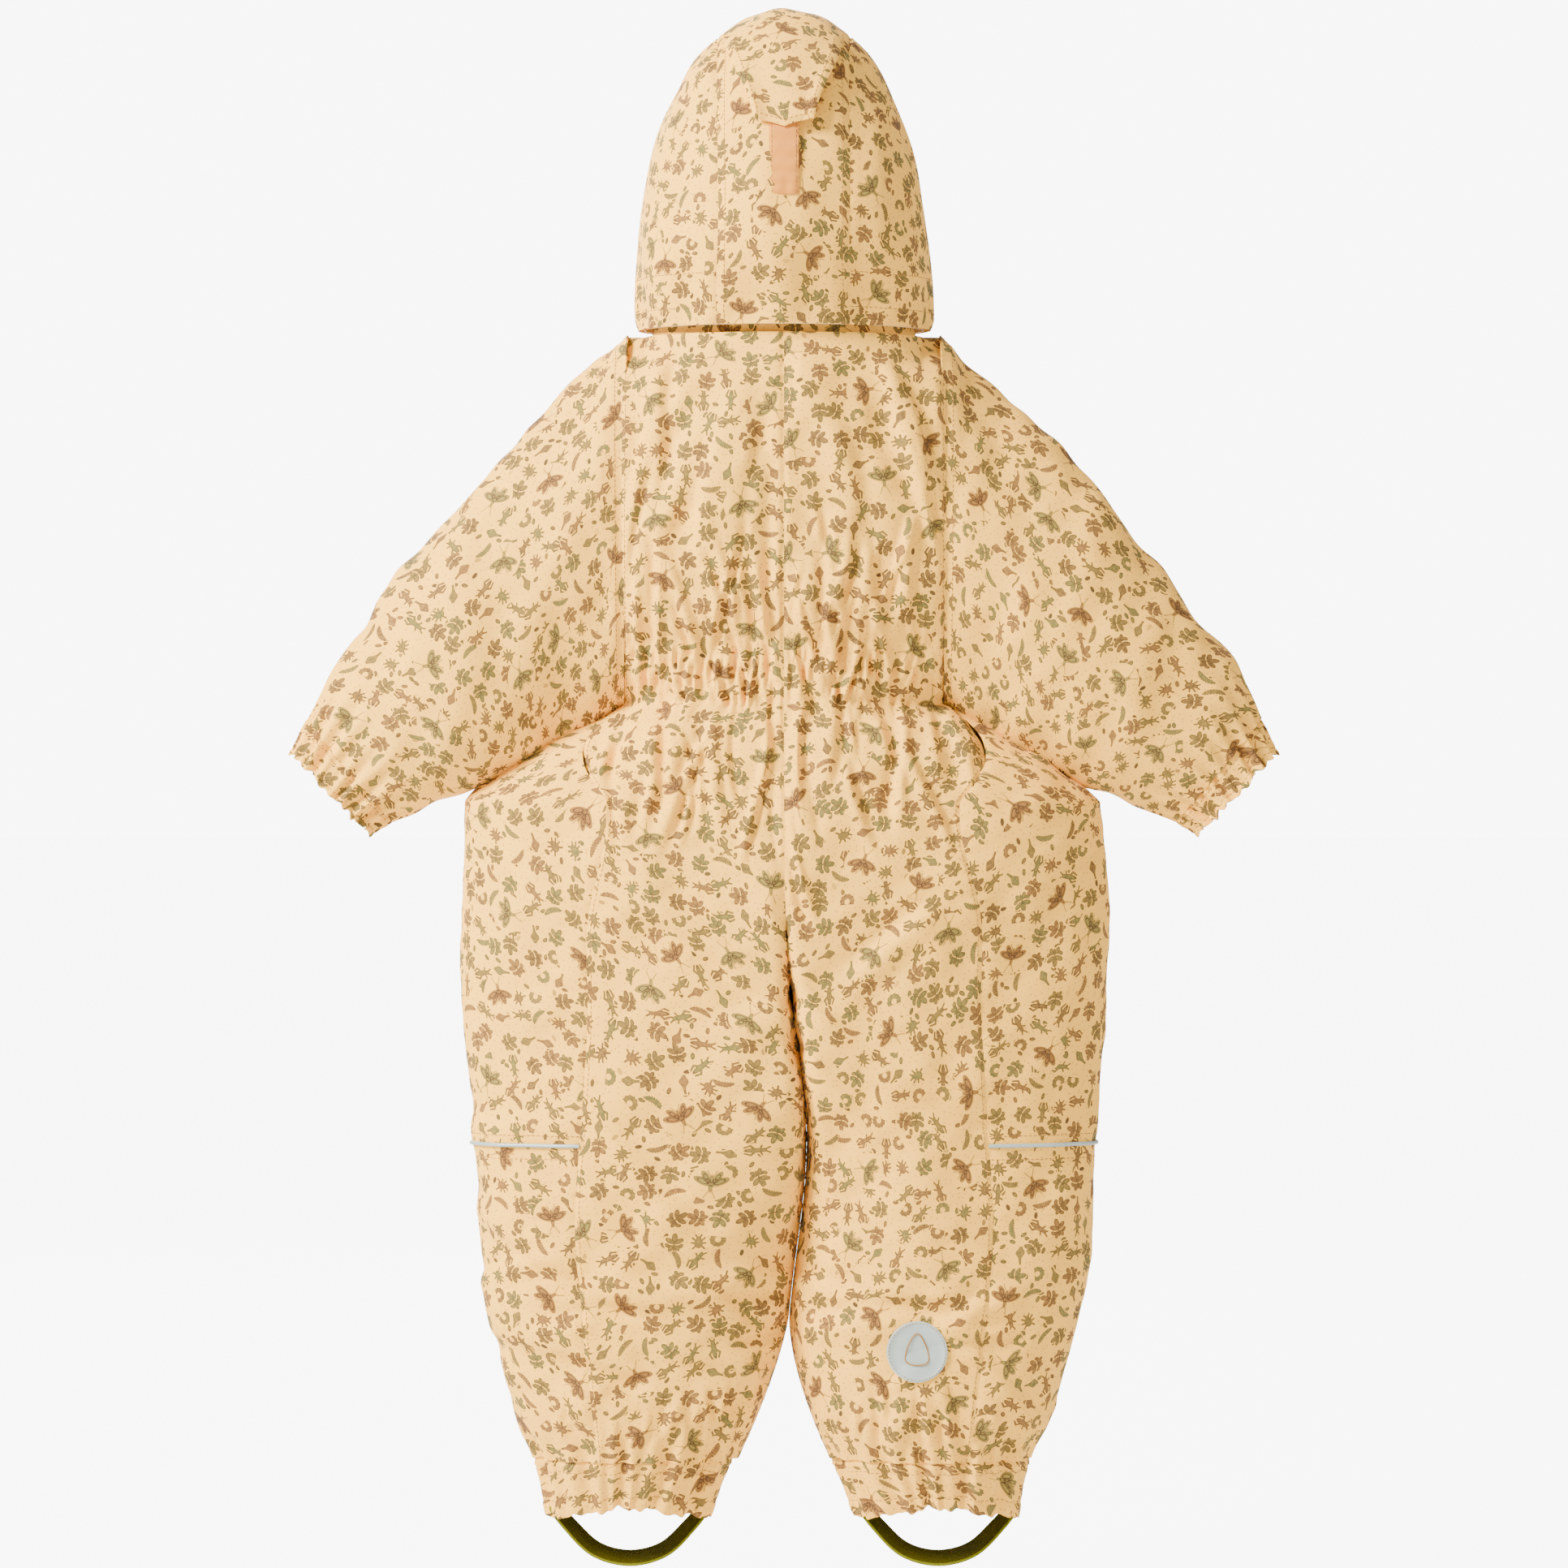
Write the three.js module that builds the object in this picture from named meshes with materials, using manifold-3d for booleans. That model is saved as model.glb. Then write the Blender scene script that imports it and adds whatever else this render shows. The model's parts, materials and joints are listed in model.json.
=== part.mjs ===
// A small child's hooded outdoor coverall, standing in the shape it has when worn.
// Millimetres, +Z up. The wearer faces -Y, and the wearer's left is +X.
// The origin is the middle of the neckline.
import * as THREE from 'three';
import { mergeVertices } from 'three/addons/utils/BufferGeometryUtils.js';
import Module from 'manifold-3d';

const wasm = await Module();
wasm.setup();

// ---------- driving dimensions ----------
const CLOTH = 2;
const SEAM_GAP = 0.4;
const SEAT = 0.35;

const SHOULDER_HALF = 107;
const NECK_HALF = 92;
const NECK_BACK = 56;
const FRONT_DEPTH = 68;
const CHEST_BACK = 66;
const WAIST_BACK = 54;
const SEAT_BACK = 70;
const SHOULDER_SLOPE = 30;

const UNDERARM_Z = -243;
const ARMHOLE_DEPTH = 50;
const FLARE_HEIGHT = 80;
const WAIST_Z = -240;
const HIP_Z = -400;
const CROTCH_Z = -455;
const KNEE_Z = -536;
const SHIN_Z = -650;
const ANKLE_Z = -746;
const HEM_Z = -780;

const FLARE_HALF = 212;
const HIP_HALF = 216;
const KNEE_HALF = 208;
const SHIN_HALF = 196;
const ANKLE_HALF = 167;
const HEM_HALF = 157;
const INSEAM_GAP = 2;
const HEM_INNER = 48;
const KNEE_DEPTH = 60;
const SHIN_DEPTH = 54;
const ANKLE_DEPTH = 43;
const HEM_DEPTH = 33;

const HIP_JOINT_RADIUS = 104;
const HIP_JOINT_GAP = 1.8;
const HIP_TIP_RISE = 42;

const CUFF_X = 301;
const CUFF_Z = -303;
const CUFF_HALF_X = 26;
const CUFF_HALF_Z = 27;
const CUFF_DEPTH = 24;
const CUFF_LENGTH = 22;
const SLEEVE_DEPTH = 46;
const SLEEVE_LENGTH = 250;
const SLEEVE_GAP = 0.6;
const OVERARM_HIGH_X = 200;
const OVERARM_HIGH_Z = -92;
const OVERARM_LOW_X = 300;
const OVERARM_LOW_Z = -192;

const HOOD_HALF = 97;
const HOOD_TOP = 222;
const HOOD_HEM = 5;
const HOOD_HEM_BACK = 62;
const HOOD_HEM_FRONT = 76;
const HOOD_BACK = 80;
const HOOD_FRONT = 100;
const HOOD_RIDGE_Y = -20;
const HOOD_CENTRE_HALF = 44;
const CROWN_ANGLE = 70;
const BRIM_ANGLE = 116;

const COLLAR_HEIGHT = 34;
const COLLAR_LEAN = 5;
const COLLAR_TUCK = 6;

const ZIP_TOP = 30;
const ZIP_BOTTOM = -446;
const ZIP_TRAVEL_TOP = 18;
const TAPE_WIDTH = 10;
const TOOTH_DEPTH = 3.2;
const TOOTH_WIDTH = 2.4;
const TOOTH_GAP = 1;
const TAPE_EDGE = 14;

const TAB_TOP_HALF = 38;
const TAB_SHOULDER_HALF = 18.5;
const TAB_LENGTH = 76;
const TAB_POINT = 9;
const LOOP_STRIP_HALF = 9.5;
const LOOP_STRIP_TOP = 150;
const LOOP_STRIP_BOTTOM = 88;
const STRIP_THICK = 1.2;

const ELASTIC_THICK = 1.2;
const STRAP_WIDTH = 15;
const STRAP_END_WIDTH = 6;
const STRAP_THICK = 1.6;
const STRAP_DROP = 38;
const STRAP_REACH = 5.5;
const STRAP_PLAY = 1.7;

const BADGE_RADIUS = 20;
const BADGE_X = 87.5;
const BADGE_Z = -670;
const BADGE_THICK = 1.2;

const STUD_RADIUS = 4.5;
const STUD_THICK = 1.8;
const STUD_Z = 14;

const PULL_THICK = 1.6;
const PULL_HALF = 3.6;
const PULL_REACH = 27;
const PULL_EYE = 2.3;
const PIN_RADIUS = 0.8;
const PIN_PLAY = 0.3;
const SLIDER_WIDTH = 11;
const SLIDER_LENGTH = 17;
const PLATE = 1.4;
const PLATE_GAP = 0.5;
const TAPE_THICK = 1.2;
const GUARD_THICK = 1.5;
const GUARD_LAP = 12;
const GUARD_BOTTOM = ZIP_BOTTOM + 68;
const GUARD_SETBACK = 6.2;
const CHIN_LAP = 9;
const CHIN_BOTTOM = 4;
const HANGER_HALF = 24;
const HANGER_DROP = 11;
const HANGER_WIDTH = 5;
const LABEL_HALF = 15;
const LABEL_BOTTOM = 7;
const LABEL_TOP = 24;
const BINDING_RADIUS = 1.6;
const HEM_BAND_HEIGHT = 20;
const BAND_THICK = 1.4;
const HOOK_HALF = 7;
const WAIST_BAND_HEIGHT = 28;
const ANKLE_BAND_INSET = 12;

// Facets: columns and rows of a body panel, and steps round a tube.
const COLUMNS = 8;
const ROWS = 12;
const AROUND = 18;
const CUFF_ROW = 17;

// ---------- finishes ----------
function finish(color, roughness, metalness = 0) {
  return new THREE.MeshStandardMaterial({ color, roughness, metalness });
}
const shellCloth = finish(0xe2c7a2, 0.85);
const elasticCloth = finish(0xd8c8ae, 0.9);
const strapElastic = finish(0x534c19, 0.7);
const reflective = finish(0xc3c8cd, 0.4);
const zipTape = finish(0x7d6f4a, 0.85);
const zipPlastic = finish(0x8a7a4c, 0.5);
const studMetal = finish(0xb49a6c, 0.35, 1);
const hookCloth = finish(0xdcb68a, 0.95);
const labelCloth = finish(0xf0e8d8, 0.8);

const suit = new THREE.Group();

function add(name, geometry, material, parent = suit) {
  const mesh = new THREE.Mesh(geometry, material);
  mesh.name = name;
  parent.add(mesh);
  return mesh;
}

// ---------- small helpers ----------
const mix = (a, b, t) => a + (b - a) * t;
const clamp = (t) => Math.min(1, Math.max(0, t));
const smooth = (t) => clamp(t) * clamp(t) * (3 - 2 * clamp(t));
const round = (t) => Math.sqrt(Math.max(0, 1 - t * t));

// A smooth line through a few [height, size] stations, listed from the top down.
function through(stations, z) {
  let i = 0;
  while (i < stations.length - 2 && z < stations[i + 1][0]) i += 1;
  const slopeAt = (k) => {
    const a = stations[Math.max(0, k - 1)];
    const b = stations[Math.min(stations.length - 1, k + 1)];
    return (b[1] - a[1]) / (b[0] - a[0]);
  };
  const [za, a] = stations[i];
  const [zb, b] = stations[i + 1];
  const step = zb - za;
  const t = clamp((z - za) / step);
  const start = a * (2 * t ** 3 - 3 * t ** 2 + 1) + slopeAt(i) * step * (t ** 3 - 2 * t ** 2 + t);
  const end = b * (3 * t ** 2 - 2 * t ** 3) + slopeAt(i + 1) * step * (t ** 3 - t ** 2);
  return start + end;
}

function normalOf(surface, u, v) {
  const e = 1e-3;
  const du = surface(u + e, v).sub(surface(u - e, v));
  const dv = surface(u, v + e).sub(surface(u, v - e));
  return du.cross(dv).normalize();
}

// A sheet of cloth laid over surface(u, v): its outer face lies at `outer` above the surface
// and its inner face at `inner`. The surface's own normal points outwards. A grown sheet is
// larger all round by `grow`, and is what trims a neighbour back.
function sheet(surface, across, down, inner = -CLOTH, outer = 0, grow = 0) {
  const geometry = new THREE.BoxGeometry(1, 1, 1, across, down, 1);
  const position = geometry.attributes.position;
  const e = 1e-3;
  for (let i = 0; i < position.count; i += 1) {
    let u = position.getX(i) + 0.5;
    let v = position.getY(i) + 0.5;
    const wide = surface(u + e, v).distanceTo(surface(u - e, v)) / (2 * e);
    const tall = surface(u, v + e).distanceTo(surface(u, v - e)) / (2 * e);
    if (u < e || u > 1 - e) u += Math.sign(u - 0.5) * grow / Math.max(wide, 20);
    if (v < e || v > 1 - e) v += Math.sign(v - 0.5) * grow / Math.max(tall, 20);
    const offset = position.getZ(i) > 0 ? outer + grow : inner - grow;
    const point = surface(u, v).addScaledVector(normalOf(surface, u, v), offset);
    position.setXYZ(i, point.x, point.y, point.z);
  }
  return geometry;
}

// What is left of a piece's largest part once its neighbours' grown shapes are cut from it.
function trimmed(geometry, ...neighbours) {
  let body = solid(geometry);
  for (const neighbour of neighbours) body = body.subtract(solid(neighbour));
  const parts = body.decompose().sort((a, b) => b.volume() - a.volume());
  return geometryOf(parts[0]);
}

// A closed tube of cloth round surface(u, v), where u runs once round.
function tube(surface, around, down, inner = -CLOTH, outer = 0) {
  const steps = 2 * down + 2;
  const geometry = new THREE.TorusGeometry(1, 0.5, steps, around);
  const position = geometry.attributes.position;
  const uv = geometry.attributes.uv;
  for (let i = 0; i < position.count; i += 1) {
    const u = (Math.round(uv.getX(i) * around) % around) / around;
    const step = Math.round(uv.getY(i) * steps) % steps;
    const outside = step <= down;
    const v = outside ? step / down : 1 - (step - down - 1) / down;
    const point = surface(u, v).addScaledVector(normalOf(surface, u, v), outside ? outer : inner);
    position.setXYZ(i, point.x, point.y, point.z);
  }
  return geometry;
}

// The same surface on the other side of the body, still facing outwards.
const mirrored = (surface) => (u, v) => {
  const point = surface(1 - u, v);
  point.x = -point.x;
  return point;
};

function pair(name, build, material) {
  add(`${name}_left`, build((surface) => surface, 1), material);
  add(`${name}_right`, build(mirrored, -1), material);
}

function solid(geometry) {
  const bare = geometry.clone();
  bare.deleteAttribute('normal');
  bare.deleteAttribute('uv');
  const merged = mergeVertices(bare, 1e-4);
  const vertProperties = new Float32Array(merged.attributes.position.array);
  const triVerts = new Uint32Array(merged.index.array);
  return new wasm.Manifold(new wasm.Mesh({ numProp: 3, vertProperties, triVerts }));
}

function geometryOf(body) {
  const mesh = body.getMesh();
  const geometry = new THREE.BufferGeometry();
  geometry.setAttribute('position', new THREE.BufferAttribute(mesh.vertProperties, 3));
  geometry.setIndex(new THREE.BufferAttribute(mesh.triVerts, 1));
  geometry.computeVertexNormals();
  return geometry;
}

const block = (x, y, z, atX, atY, atZ) => new THREE.BoxGeometry(x, y, z).translate(atX, atY, atZ);

// ---------- the shape of the body ----------
const flare = (z) => smooth((UNDERARM_Z - z) / FLARE_HEIGHT);

function halfWidth(z) {
  const stations = [
    [UNDERARM_Z - FLARE_HEIGHT, FLARE_HALF],
    [HIP_Z, HIP_HALF],
    [KNEE_Z, KNEE_HALF],
    [SHIN_Z, SHIN_HALF],
    [ANKLE_Z, ANKLE_HALF],
    [HEM_Z, HEM_HALF],
  ];
  return mix(SHOULDER_HALF, through(stations, z), flare(z));
}

// How deep the body is in its middle, behind (side 1) and in front (side -1).
function middleDepth(z, side) {
  if (side < 0) return FRONT_DEPTH;
  const stations = [
    [0, NECK_BACK],
    [-90, CHEST_BACK],
    [WAIST_Z, WAIST_BACK],
    [WAIST_Z - 90, SEAT_BACK],
    [CROTCH_Z, SEAT_BACK],
  ];
  return through(stations, z);
}

function armholeDepth(z) {
  const half = -UNDERARM_Z / 2;
  return ARMHOLE_DEPTH * round((z + half) / half);
}

// The depth of the torso's outer face at x, from the mid plane.
function torsoDepth(x, z, side) {
  const middle = middleDepth(z, side);
  const edge = z > UNDERARM_Z ? armholeDepth(z) : 0;
  const full = Math.sqrt(edge ** 2 + (middle ** 2 - edge ** 2) * round(x / halfWidth(z)) ** 2);
  const neck = Math.max(CLOTH + SEAT, middleDepth(0, side) * round(Math.min(1, x / NECK_HALF)));
  return mix(full, neck, smooth(1 + z / SHOULDER_SLOPE));
}

// The side seam, as an angle from the side of the body.
const sideSeam = (z) => THREE.MathUtils.degToRad(mix(10, 57 - 4 * smooth((-320 - z) / 80), flare(z)));

const hipArc = (x, radius) => {
  const across = Math.abs(x) - hipX;
  return CROTCH_Z + Math.sqrt(Math.max(0, radius ** 2 - across ** 2));
};
const hipX = (halfWidth(CROTCH_Z) + INSEAM_GAP) / 2;
const torsoHem = (x) => Math.max(
  hipArc(x, HIP_JOINT_RADIUS + HIP_JOINT_GAP),
  Math.abs(x) > hipX ? CROTCH_Z + HIP_TIP_RISE : CROTCH_Z,
);

// A front or back panel, from the middle line to the armhole and the side seam.
function torsoPanel(side, from) {
  const edgeAt = (z) => {
    const seam = halfWidth(z) * Math.cos(sideSeam(z)) - SEAM_GAP / 2;
    return z > UNDERARM_Z ? SHOULDER_HALF : seam;
  };
  return (u, v) => {
    const across = 1 - Math.cos((side > 0 ? u : 1 - u) * Math.PI / 2);
    let hem = CROTCH_Z;
    let x = from;
    for (let i = 0; i < 4; i += 1) {
      x = mix(from, edgeAt(hem), across);
      hem = torsoHem(x);
    }
    const z = mix(0, hem, v);
    x = mix(from, edgeAt(z), across);
    return new THREE.Vector3(x, side * torsoDepth(x, z, side), z);
  };
}

function sidePanel(u, v) {
  const top = UNDERARM_Z - SEAM_GAP;
  let z = CROTCH_Z + HIP_TIP_RISE;
  let angle = 0;
  for (let i = 0; i < 4; i += 1) {
    angle = mix(sideSeam(z), -sideSeam(z), u);
    z = mix(top, torsoHem(halfWidth(z) * Math.cos(angle)), v);
  }
  angle = mix(sideSeam(z), -sideSeam(z), u);
  const side = angle >= 0 ? 1 : -1;
  const x = halfWidth(z) * Math.cos(angle);
  return new THREE.Vector3(x, side * middleDepth(z, side) * Math.abs(Math.sin(angle)), z);
}

// What the armhole cuts away: everything beyond the shoulder, down to the underarm.
const armholeCut = (sign) => {
  return block(100, 300, 400, sign * (SHOULDER_HALF + 50), 0, UNDERARM_Z + 200);
};
const backShape = torsoPanel(1, SEAM_GAP / 2);
const frontShape = torsoPanel(-1, TAPE_EDGE);
pair('back_panel', (turn, sign) => {
  return trimmed(sheet(turn(backShape), COLUMNS, ROWS), armholeCut(sign));
}, shellCloth);
pair('front_panel', (turn, sign) => {
  return trimmed(sheet(turn(frontShape), COLUMNS, ROWS), armholeCut(sign));
}, shellCloth);
pair('side_panel', (turn) => {
  const back = sheet(turn(backShape), COLUMNS, ROWS, -CLOTH, 0, SEAM_GAP);
  const front = sheet(turn(frontShape), COLUMNS, ROWS, -CLOTH, 0, SEAM_GAP);
  return trimmed(sheet(turn(sidePanel), 10, 6), back, front);
}, shellCloth);

// ---------- legs ----------
// The legs touch down to the shin and part below it.
const inseam = (z) => mix(INSEAM_GAP, HEM_INNER, clamp((SHIN_Z - z) / (SHIN_Z - HEM_Z)) ** 1.5);

const legDepth = (z) => through([
  [CROTCH_Z, KNEE_DEPTH + 4],
  [KNEE_Z, KNEE_DEPTH],
  [SHIN_Z, SHIN_DEPTH],
  [ANKLE_Z, ANKLE_DEPTH],
  [HEM_Z, HEM_DEPTH],
], Math.min(z, CROTCH_Z));

// A point on the outside of the left leg: angle 0 is its outer side, 180 degrees its inseam.
function legPoint(angle, z) {
  const low = Math.min(z, CROTCH_Z);
  const half = (halfWidth(low) - inseam(low)) / 2;
  const across = Math.cos(angle);
  const x = inseam(low) + half * (1 + across);
  const side = Math.sin(angle) >= 0 ? 1 : -1;
  const closing = across < 0 ? Math.sqrt(Math.max(0, 1 - across ** 10)) : 1;
  const hip = middleDepth(Math.max(z, CROTCH_Z), side) * round(Math.min(1, x / halfWidth(z))) * closing;
  const down = smooth((CROTCH_Z - z) / (CROTCH_Z - SHIN_Z));
  const depth = mix(hip, legDepth(z) * Math.abs(Math.sin(angle)), down);
  return new THREE.Vector3(x, side * depth, z);
}

const legSeam = (z) => THREE.MathUtils.degToRad(mix(77, 69, smooth((CROTCH_Z - z) / 150)));

function legTop(angle) {
  return hipArc(legPoint(angle, CROTCH_Z).x, HIP_JOINT_RADIUS);
}

function legPanel(angleFrom, angleTo, bottom) {
  return (u, v) => {
    const angleAt = (z) => mix(angleFrom(z), angleTo(z), u);
    const top = legTop(angleAt(CROTCH_Z));
    const z = mix(top, bottom, v);
    return legPoint(angleAt(z), z);
  };
}

function legBand(angleFrom, angleTo, top, bottom) {
  return (u, v) => {
    const z = mix(top, bottom, v);
    return legPoint(mix(angleFrom(z), angleTo(z), u), z);
  };
}

const SEAM_TURN = THREE.MathUtils.degToRad(0.3);
const backSeam = (z) => legSeam(z) + SEAM_TURN;
const frontSeam = (z) => -legSeam(z) - SEAM_TURN;
const sideBack = (z) => legSeam(z);
const sideFront = (z) => -legSeam(z);
const innerBack = () => Math.PI - SEAM_TURN;
const innerFront = () => -Math.PI + SEAM_TURN;
const PIPING_HALF = 1.5;
const cuffTop = ANKLE_Z - SEAM_GAP;
const round360 = (top, bottom) => (u, v) => legPoint(-2 * Math.PI * u, mix(top, bottom, v));

pair('leg_back', (turn) => sheet(turn(legPanel(innerBack, backSeam, ANKLE_Z)), 7, 8), shellCloth);
pair('leg_front', (turn) => sheet(turn(legPanel(frontSeam, innerFront, ANKLE_Z)), 7, 8), shellCloth);
const legNeighbours = (turn) => [
  sheet(turn(legPanel(innerBack, backSeam, ANKLE_Z)), 7, 8, -CLOTH, 0, SEAM_GAP),
  sheet(turn(legPanel(frontSeam, innerFront, ANKLE_Z)), 7, 8, -CLOTH, 0, SEAM_GAP),
];
pair('leg_side_upper', (turn) => {
  const panel = legPanel(sideBack, sideFront, KNEE_Z + PIPING_HALF + SEAM_GAP);
  return trimmed(sheet(turn(panel), 10, 3), ...legNeighbours(turn));
}, shellCloth);
pair('leg_side_lower', (turn) => {
  const panel = legBand(sideBack, sideFront, KNEE_Z - PIPING_HALF - SEAM_GAP, ANKLE_Z);
  return trimmed(sheet(turn(panel), 8, 5), ...legNeighbours(turn));
}, shellCloth);
pair('knee_piping', (turn) => {
  const strip = legBand(sideBack, sideFront, KNEE_Z + PIPING_HALF, KNEE_Z - PIPING_HALF);
  return trimmed(sheet(turn(strip), 10, 1, -1, 1), ...legNeighbours(turn));
}, reflective);
const cuffRows = Math.max(2, Math.round((cuffTop - HEM_Z) / CUFF_ROW));
pair('ankle_cuff', (turn) => {
  return tube(turn(round360(cuffTop, HEM_Z)), AROUND, cuffRows);
}, shellCloth);
pair('ankle_elastic', (turn) => {
  const band = round360(cuffTop - ANKLE_BAND_INSET, HEM_Z + ANKLE_BAND_INSET / 2);
  return tube(turn(band), AROUND, cuffRows - 1, -CLOTH - SEAT - ELASTIC_THICK, -CLOTH - SEAT);
}, elasticCloth);

// The strap under the foot: up inside the ankle on both sides, and a slack loop between.
const strapInset = CLOTH + STRAP_PLAY + STRAP_THICK;
function strapLine() {
  const inner = (z) => new THREE.Vector3(inseam(z) + strapInset, 0, z);
  const outer = (z) => new THREE.Vector3(halfWidth(z) - strapInset, 0, z);
  const top = HEM_Z + STRAP_REACH;
  const tuck = HEM_Z + 2;
  const [left, right] = [inner(HEM_Z).x, outer(HEM_Z).x];
  const slack = (share, drop) => {
    return new THREE.Vector3(mix(left, right, share), 0, HEM_Z - (STRAP_DROP - STRAP_THICK) * drop);
  };
  return new THREE.CatmullRomCurve3([
    inner(top),
    inner(tuck),
    slack(0.09, 0.3),
    slack(0.27, 0.82),
    slack(0.5, 1),
    slack(0.73, 0.82),
    slack(0.91, 0.3),
    outer(tuck),
    outer(top),
  ]);
}
const strapPath = strapLine();
const strapSurface = (u, v) => {
  const point = strapPath.getPoint(clamp(u));
  point.addScaledVector(strapPath.getTangent(clamp(u)), (u - clamp(u)) * 100);
  const fromEnd = Math.min(clamp(u), 1 - clamp(u));
  const width = mix(STRAP_END_WIDTH, STRAP_WIDTH, smooth(fromEnd / 0.13));
  return point.setY(mix(-1, 1, v) * width / 2);
};
pair('foot_strap', (turn) => sheet(turn(strapSurface), 24, 1, 0, STRAP_THICK), strapElastic);

// The round patch follows the cloth of the right calf.
function badge() {
  const disc = new THREE.CylinderGeometry(BADGE_RADIUS, BADGE_RADIUS, BADGE_THICK, 28, 1);
  const position = disc.attributes.position;
  const calf = (x, z) => {
    const half = (halfWidth(z) - inseam(z)) / 2;
    const angle = Math.acos(clamp((x - inseam(z) - half) / half * 0.5 + 0.5) * 2 - 1);
    return legPoint(angle, z);
  };
  for (let i = 0; i < position.count; i += 1) {
    const x = BADGE_X + position.getX(i);
    const z = BADGE_Z - position.getZ(i);
    const here = calf(x, z);
    const normal = calf(x, z + 1).sub(calf(x, z - 1)).cross(calf(x + 1, z).sub(calf(x - 1, z)));
    const lift = SEAT + (position.getY(i) > 0 ? BADGE_THICK : 0);
    here.addScaledVector(normal.normalize(), lift + 0.25);
    position.setXYZ(i, -here.x, here.y, here.z);
  }
  return disc;
}
add('calf_patch', badge(), reflective);

// ---------- sleeves ----------
const overArm = new THREE.CubicBezierCurve3(
  new THREE.Vector3(SHOULDER_HALF + SLEEVE_GAP, 0, -1),
  new THREE.Vector3(OVERARM_HIGH_X, 0, OVERARM_HIGH_Z),
  new THREE.Vector3(OVERARM_LOW_X, 0, OVERARM_LOW_Z),
  new THREE.Vector3(CUFF_X + CUFF_HALF_X, 0, CUFF_Z + CUFF_HALF_Z),
);
const underArm = new THREE.LineCurve3(
  new THREE.Vector3(SHOULDER_HALF + SLEEVE_GAP, 0, UNDERARM_Z + 1),
  new THREE.Vector3(CUFF_X - CUFF_HALF_X, 0, CUFF_Z - CUFF_HALF_Z),
);
const sleeveDepth = (v) => mix(
  mix(ARMHOLE_DEPTH, SLEEVE_DEPTH, smooth(v * 2)),
  CUFF_DEPTH,
  smooth((v - 0.45) / 0.55),
);

// u runs round the sleeve from the over-arm line, v from the armhole to the cuff's edge.
function sleevePoint(u, v) {
  const at = clamp(v);
  const past = (v - at) * SLEEVE_LENGTH;
  const top = overArm.getPoint(at).addScaledVector(overArm.getTangent(at), past);
  const low = underArm.getPoint(at).addScaledVector(underArm.getTangent(at), past);
  const middle = top.clone().add(low).multiplyScalar(0.5);
  const across = top.clone().sub(low).multiplyScalar(0.5);
  const angle = -2 * Math.PI * u;
  return middle.addScaledVector(across, Math.cos(angle))
    .add(new THREE.Vector3(0, sleeveDepth(v) * Math.sin(angle), 0));
}
const sleeveBand = (from, to) => (u, v) => sleevePoint(u, mix(from, to, v));
const cuffStart = 1 - CUFF_LENGTH / SLEEVE_LENGTH;

pair('sleeve', (turn, sign) => {
  const bodySide = block(100, 300, 600, sign * (SHOULDER_HALF + SEAT - 50), 0, UNDERARM_Z);
  return trimmed(tube(turn(sleeveBand(0, cuffStart)), AROUND, 6), bodySide);
}, shellCloth);
pair('sleeve_cuff', (turn) => tube(turn(sleeveBand(cuffStart + 0.002, 1)), AROUND, 1), shellCloth);
pair('cuff_elastic', (turn) => {
  const band = sleeveBand(cuffStart + 0.02, 0.985);
  return tube(turn(band), AROUND, 1, -CLOTH - SEAT - ELASTIC_THICK, -CLOTH - SEAT);
}, elasticCloth);

// ---------- waist elastic, inside the back ----------
function waistSurface(u, v) {
  const x = mix(-1, 1, u) * (SHOULDER_HALF - 8);
  const z = mix(WAIST_Z + WAIST_BAND_HEIGHT, WAIST_Z, v);
  return new THREE.Vector3(x, torsoDepth(Math.abs(x), z, 1), z);
}
const waistBand = sheet(waistSurface, 18, 3, -CLOTH - 5 * SEAT - ELASTIC_THICK, -CLOTH - 5 * SEAT);
const backs = [backShape, mirrored(backShape)].map((shape) => {
  return sheet(shape, COLUMNS, ROWS, -CLOTH, 0, SEAM_GAP);
});
add('waist_elastic', trimmed(waistBand, ...backs), elasticCloth);

// ---------- collar ----------
function ovalPoint(angle, half, back, front) {
  const depth = Math.cos(angle) >= 0 ? back : front;
  return new THREE.Vector3(half * Math.sin(angle), depth * Math.cos(angle), 0);
}
const collarFront = FRONT_DEPTH - CLOTH - 5 * SEAT;
function collarPoint(angle, z) {
  const lean = COLLAR_LEAN * clamp((z + COLLAR_TUCK) / (COLLAR_HEIGHT + COLLAR_TUCK));
  const tuck = CLOTH + 4 * SEAT;
  const point = ovalPoint(angle, NECK_HALF - tuck - lean, NECK_BACK - tuck - lean, collarFront);
  point.z = z;
  return point;
}
const collarEnd = Math.PI - Math.asin(TAPE_EDGE / (NECK_HALF - CLOTH - SEAT));
const collarSurface = (u, v) => {
  return collarPoint(mix(collarEnd, -collarEnd, u), mix(-COLLAR_TUCK, COLLAR_HEIGHT, v));
};
add('collar', sheet(collarSurface, 30, 2), shellCloth);

// ---------- zip ----------
const zipLength = ZIP_TOP - ZIP_BOTTOM;
const zipMiddle = (ZIP_TOP + ZIP_BOTTOM) / 2;
const zipY = -(FRONT_DEPTH - SEAM_GAP);
for (const [side, sign] of [['left', 1], ['right', -1]]) {
  const tapeX = sign * (TOOTH_GAP + TOOTH_WIDTH + (TAPE_WIDTH + PIN_PLAY) / 2);
  const tape = block(TAPE_WIDTH - PIN_PLAY, TAPE_THICK, zipLength, tapeX, zipY, zipMiddle);
  add(`zip_tape_${side}`, tape, zipTape);
  const toothX = sign * (TOOTH_GAP + TOOTH_WIDTH / 2);
  const teeth = block(TOOTH_WIDTH, TOOTH_DEPTH, zipLength - 6, toothX, zipY, zipMiddle);
  add(`zip_teeth_${side}`, teeth, zipPlastic);
}
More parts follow.
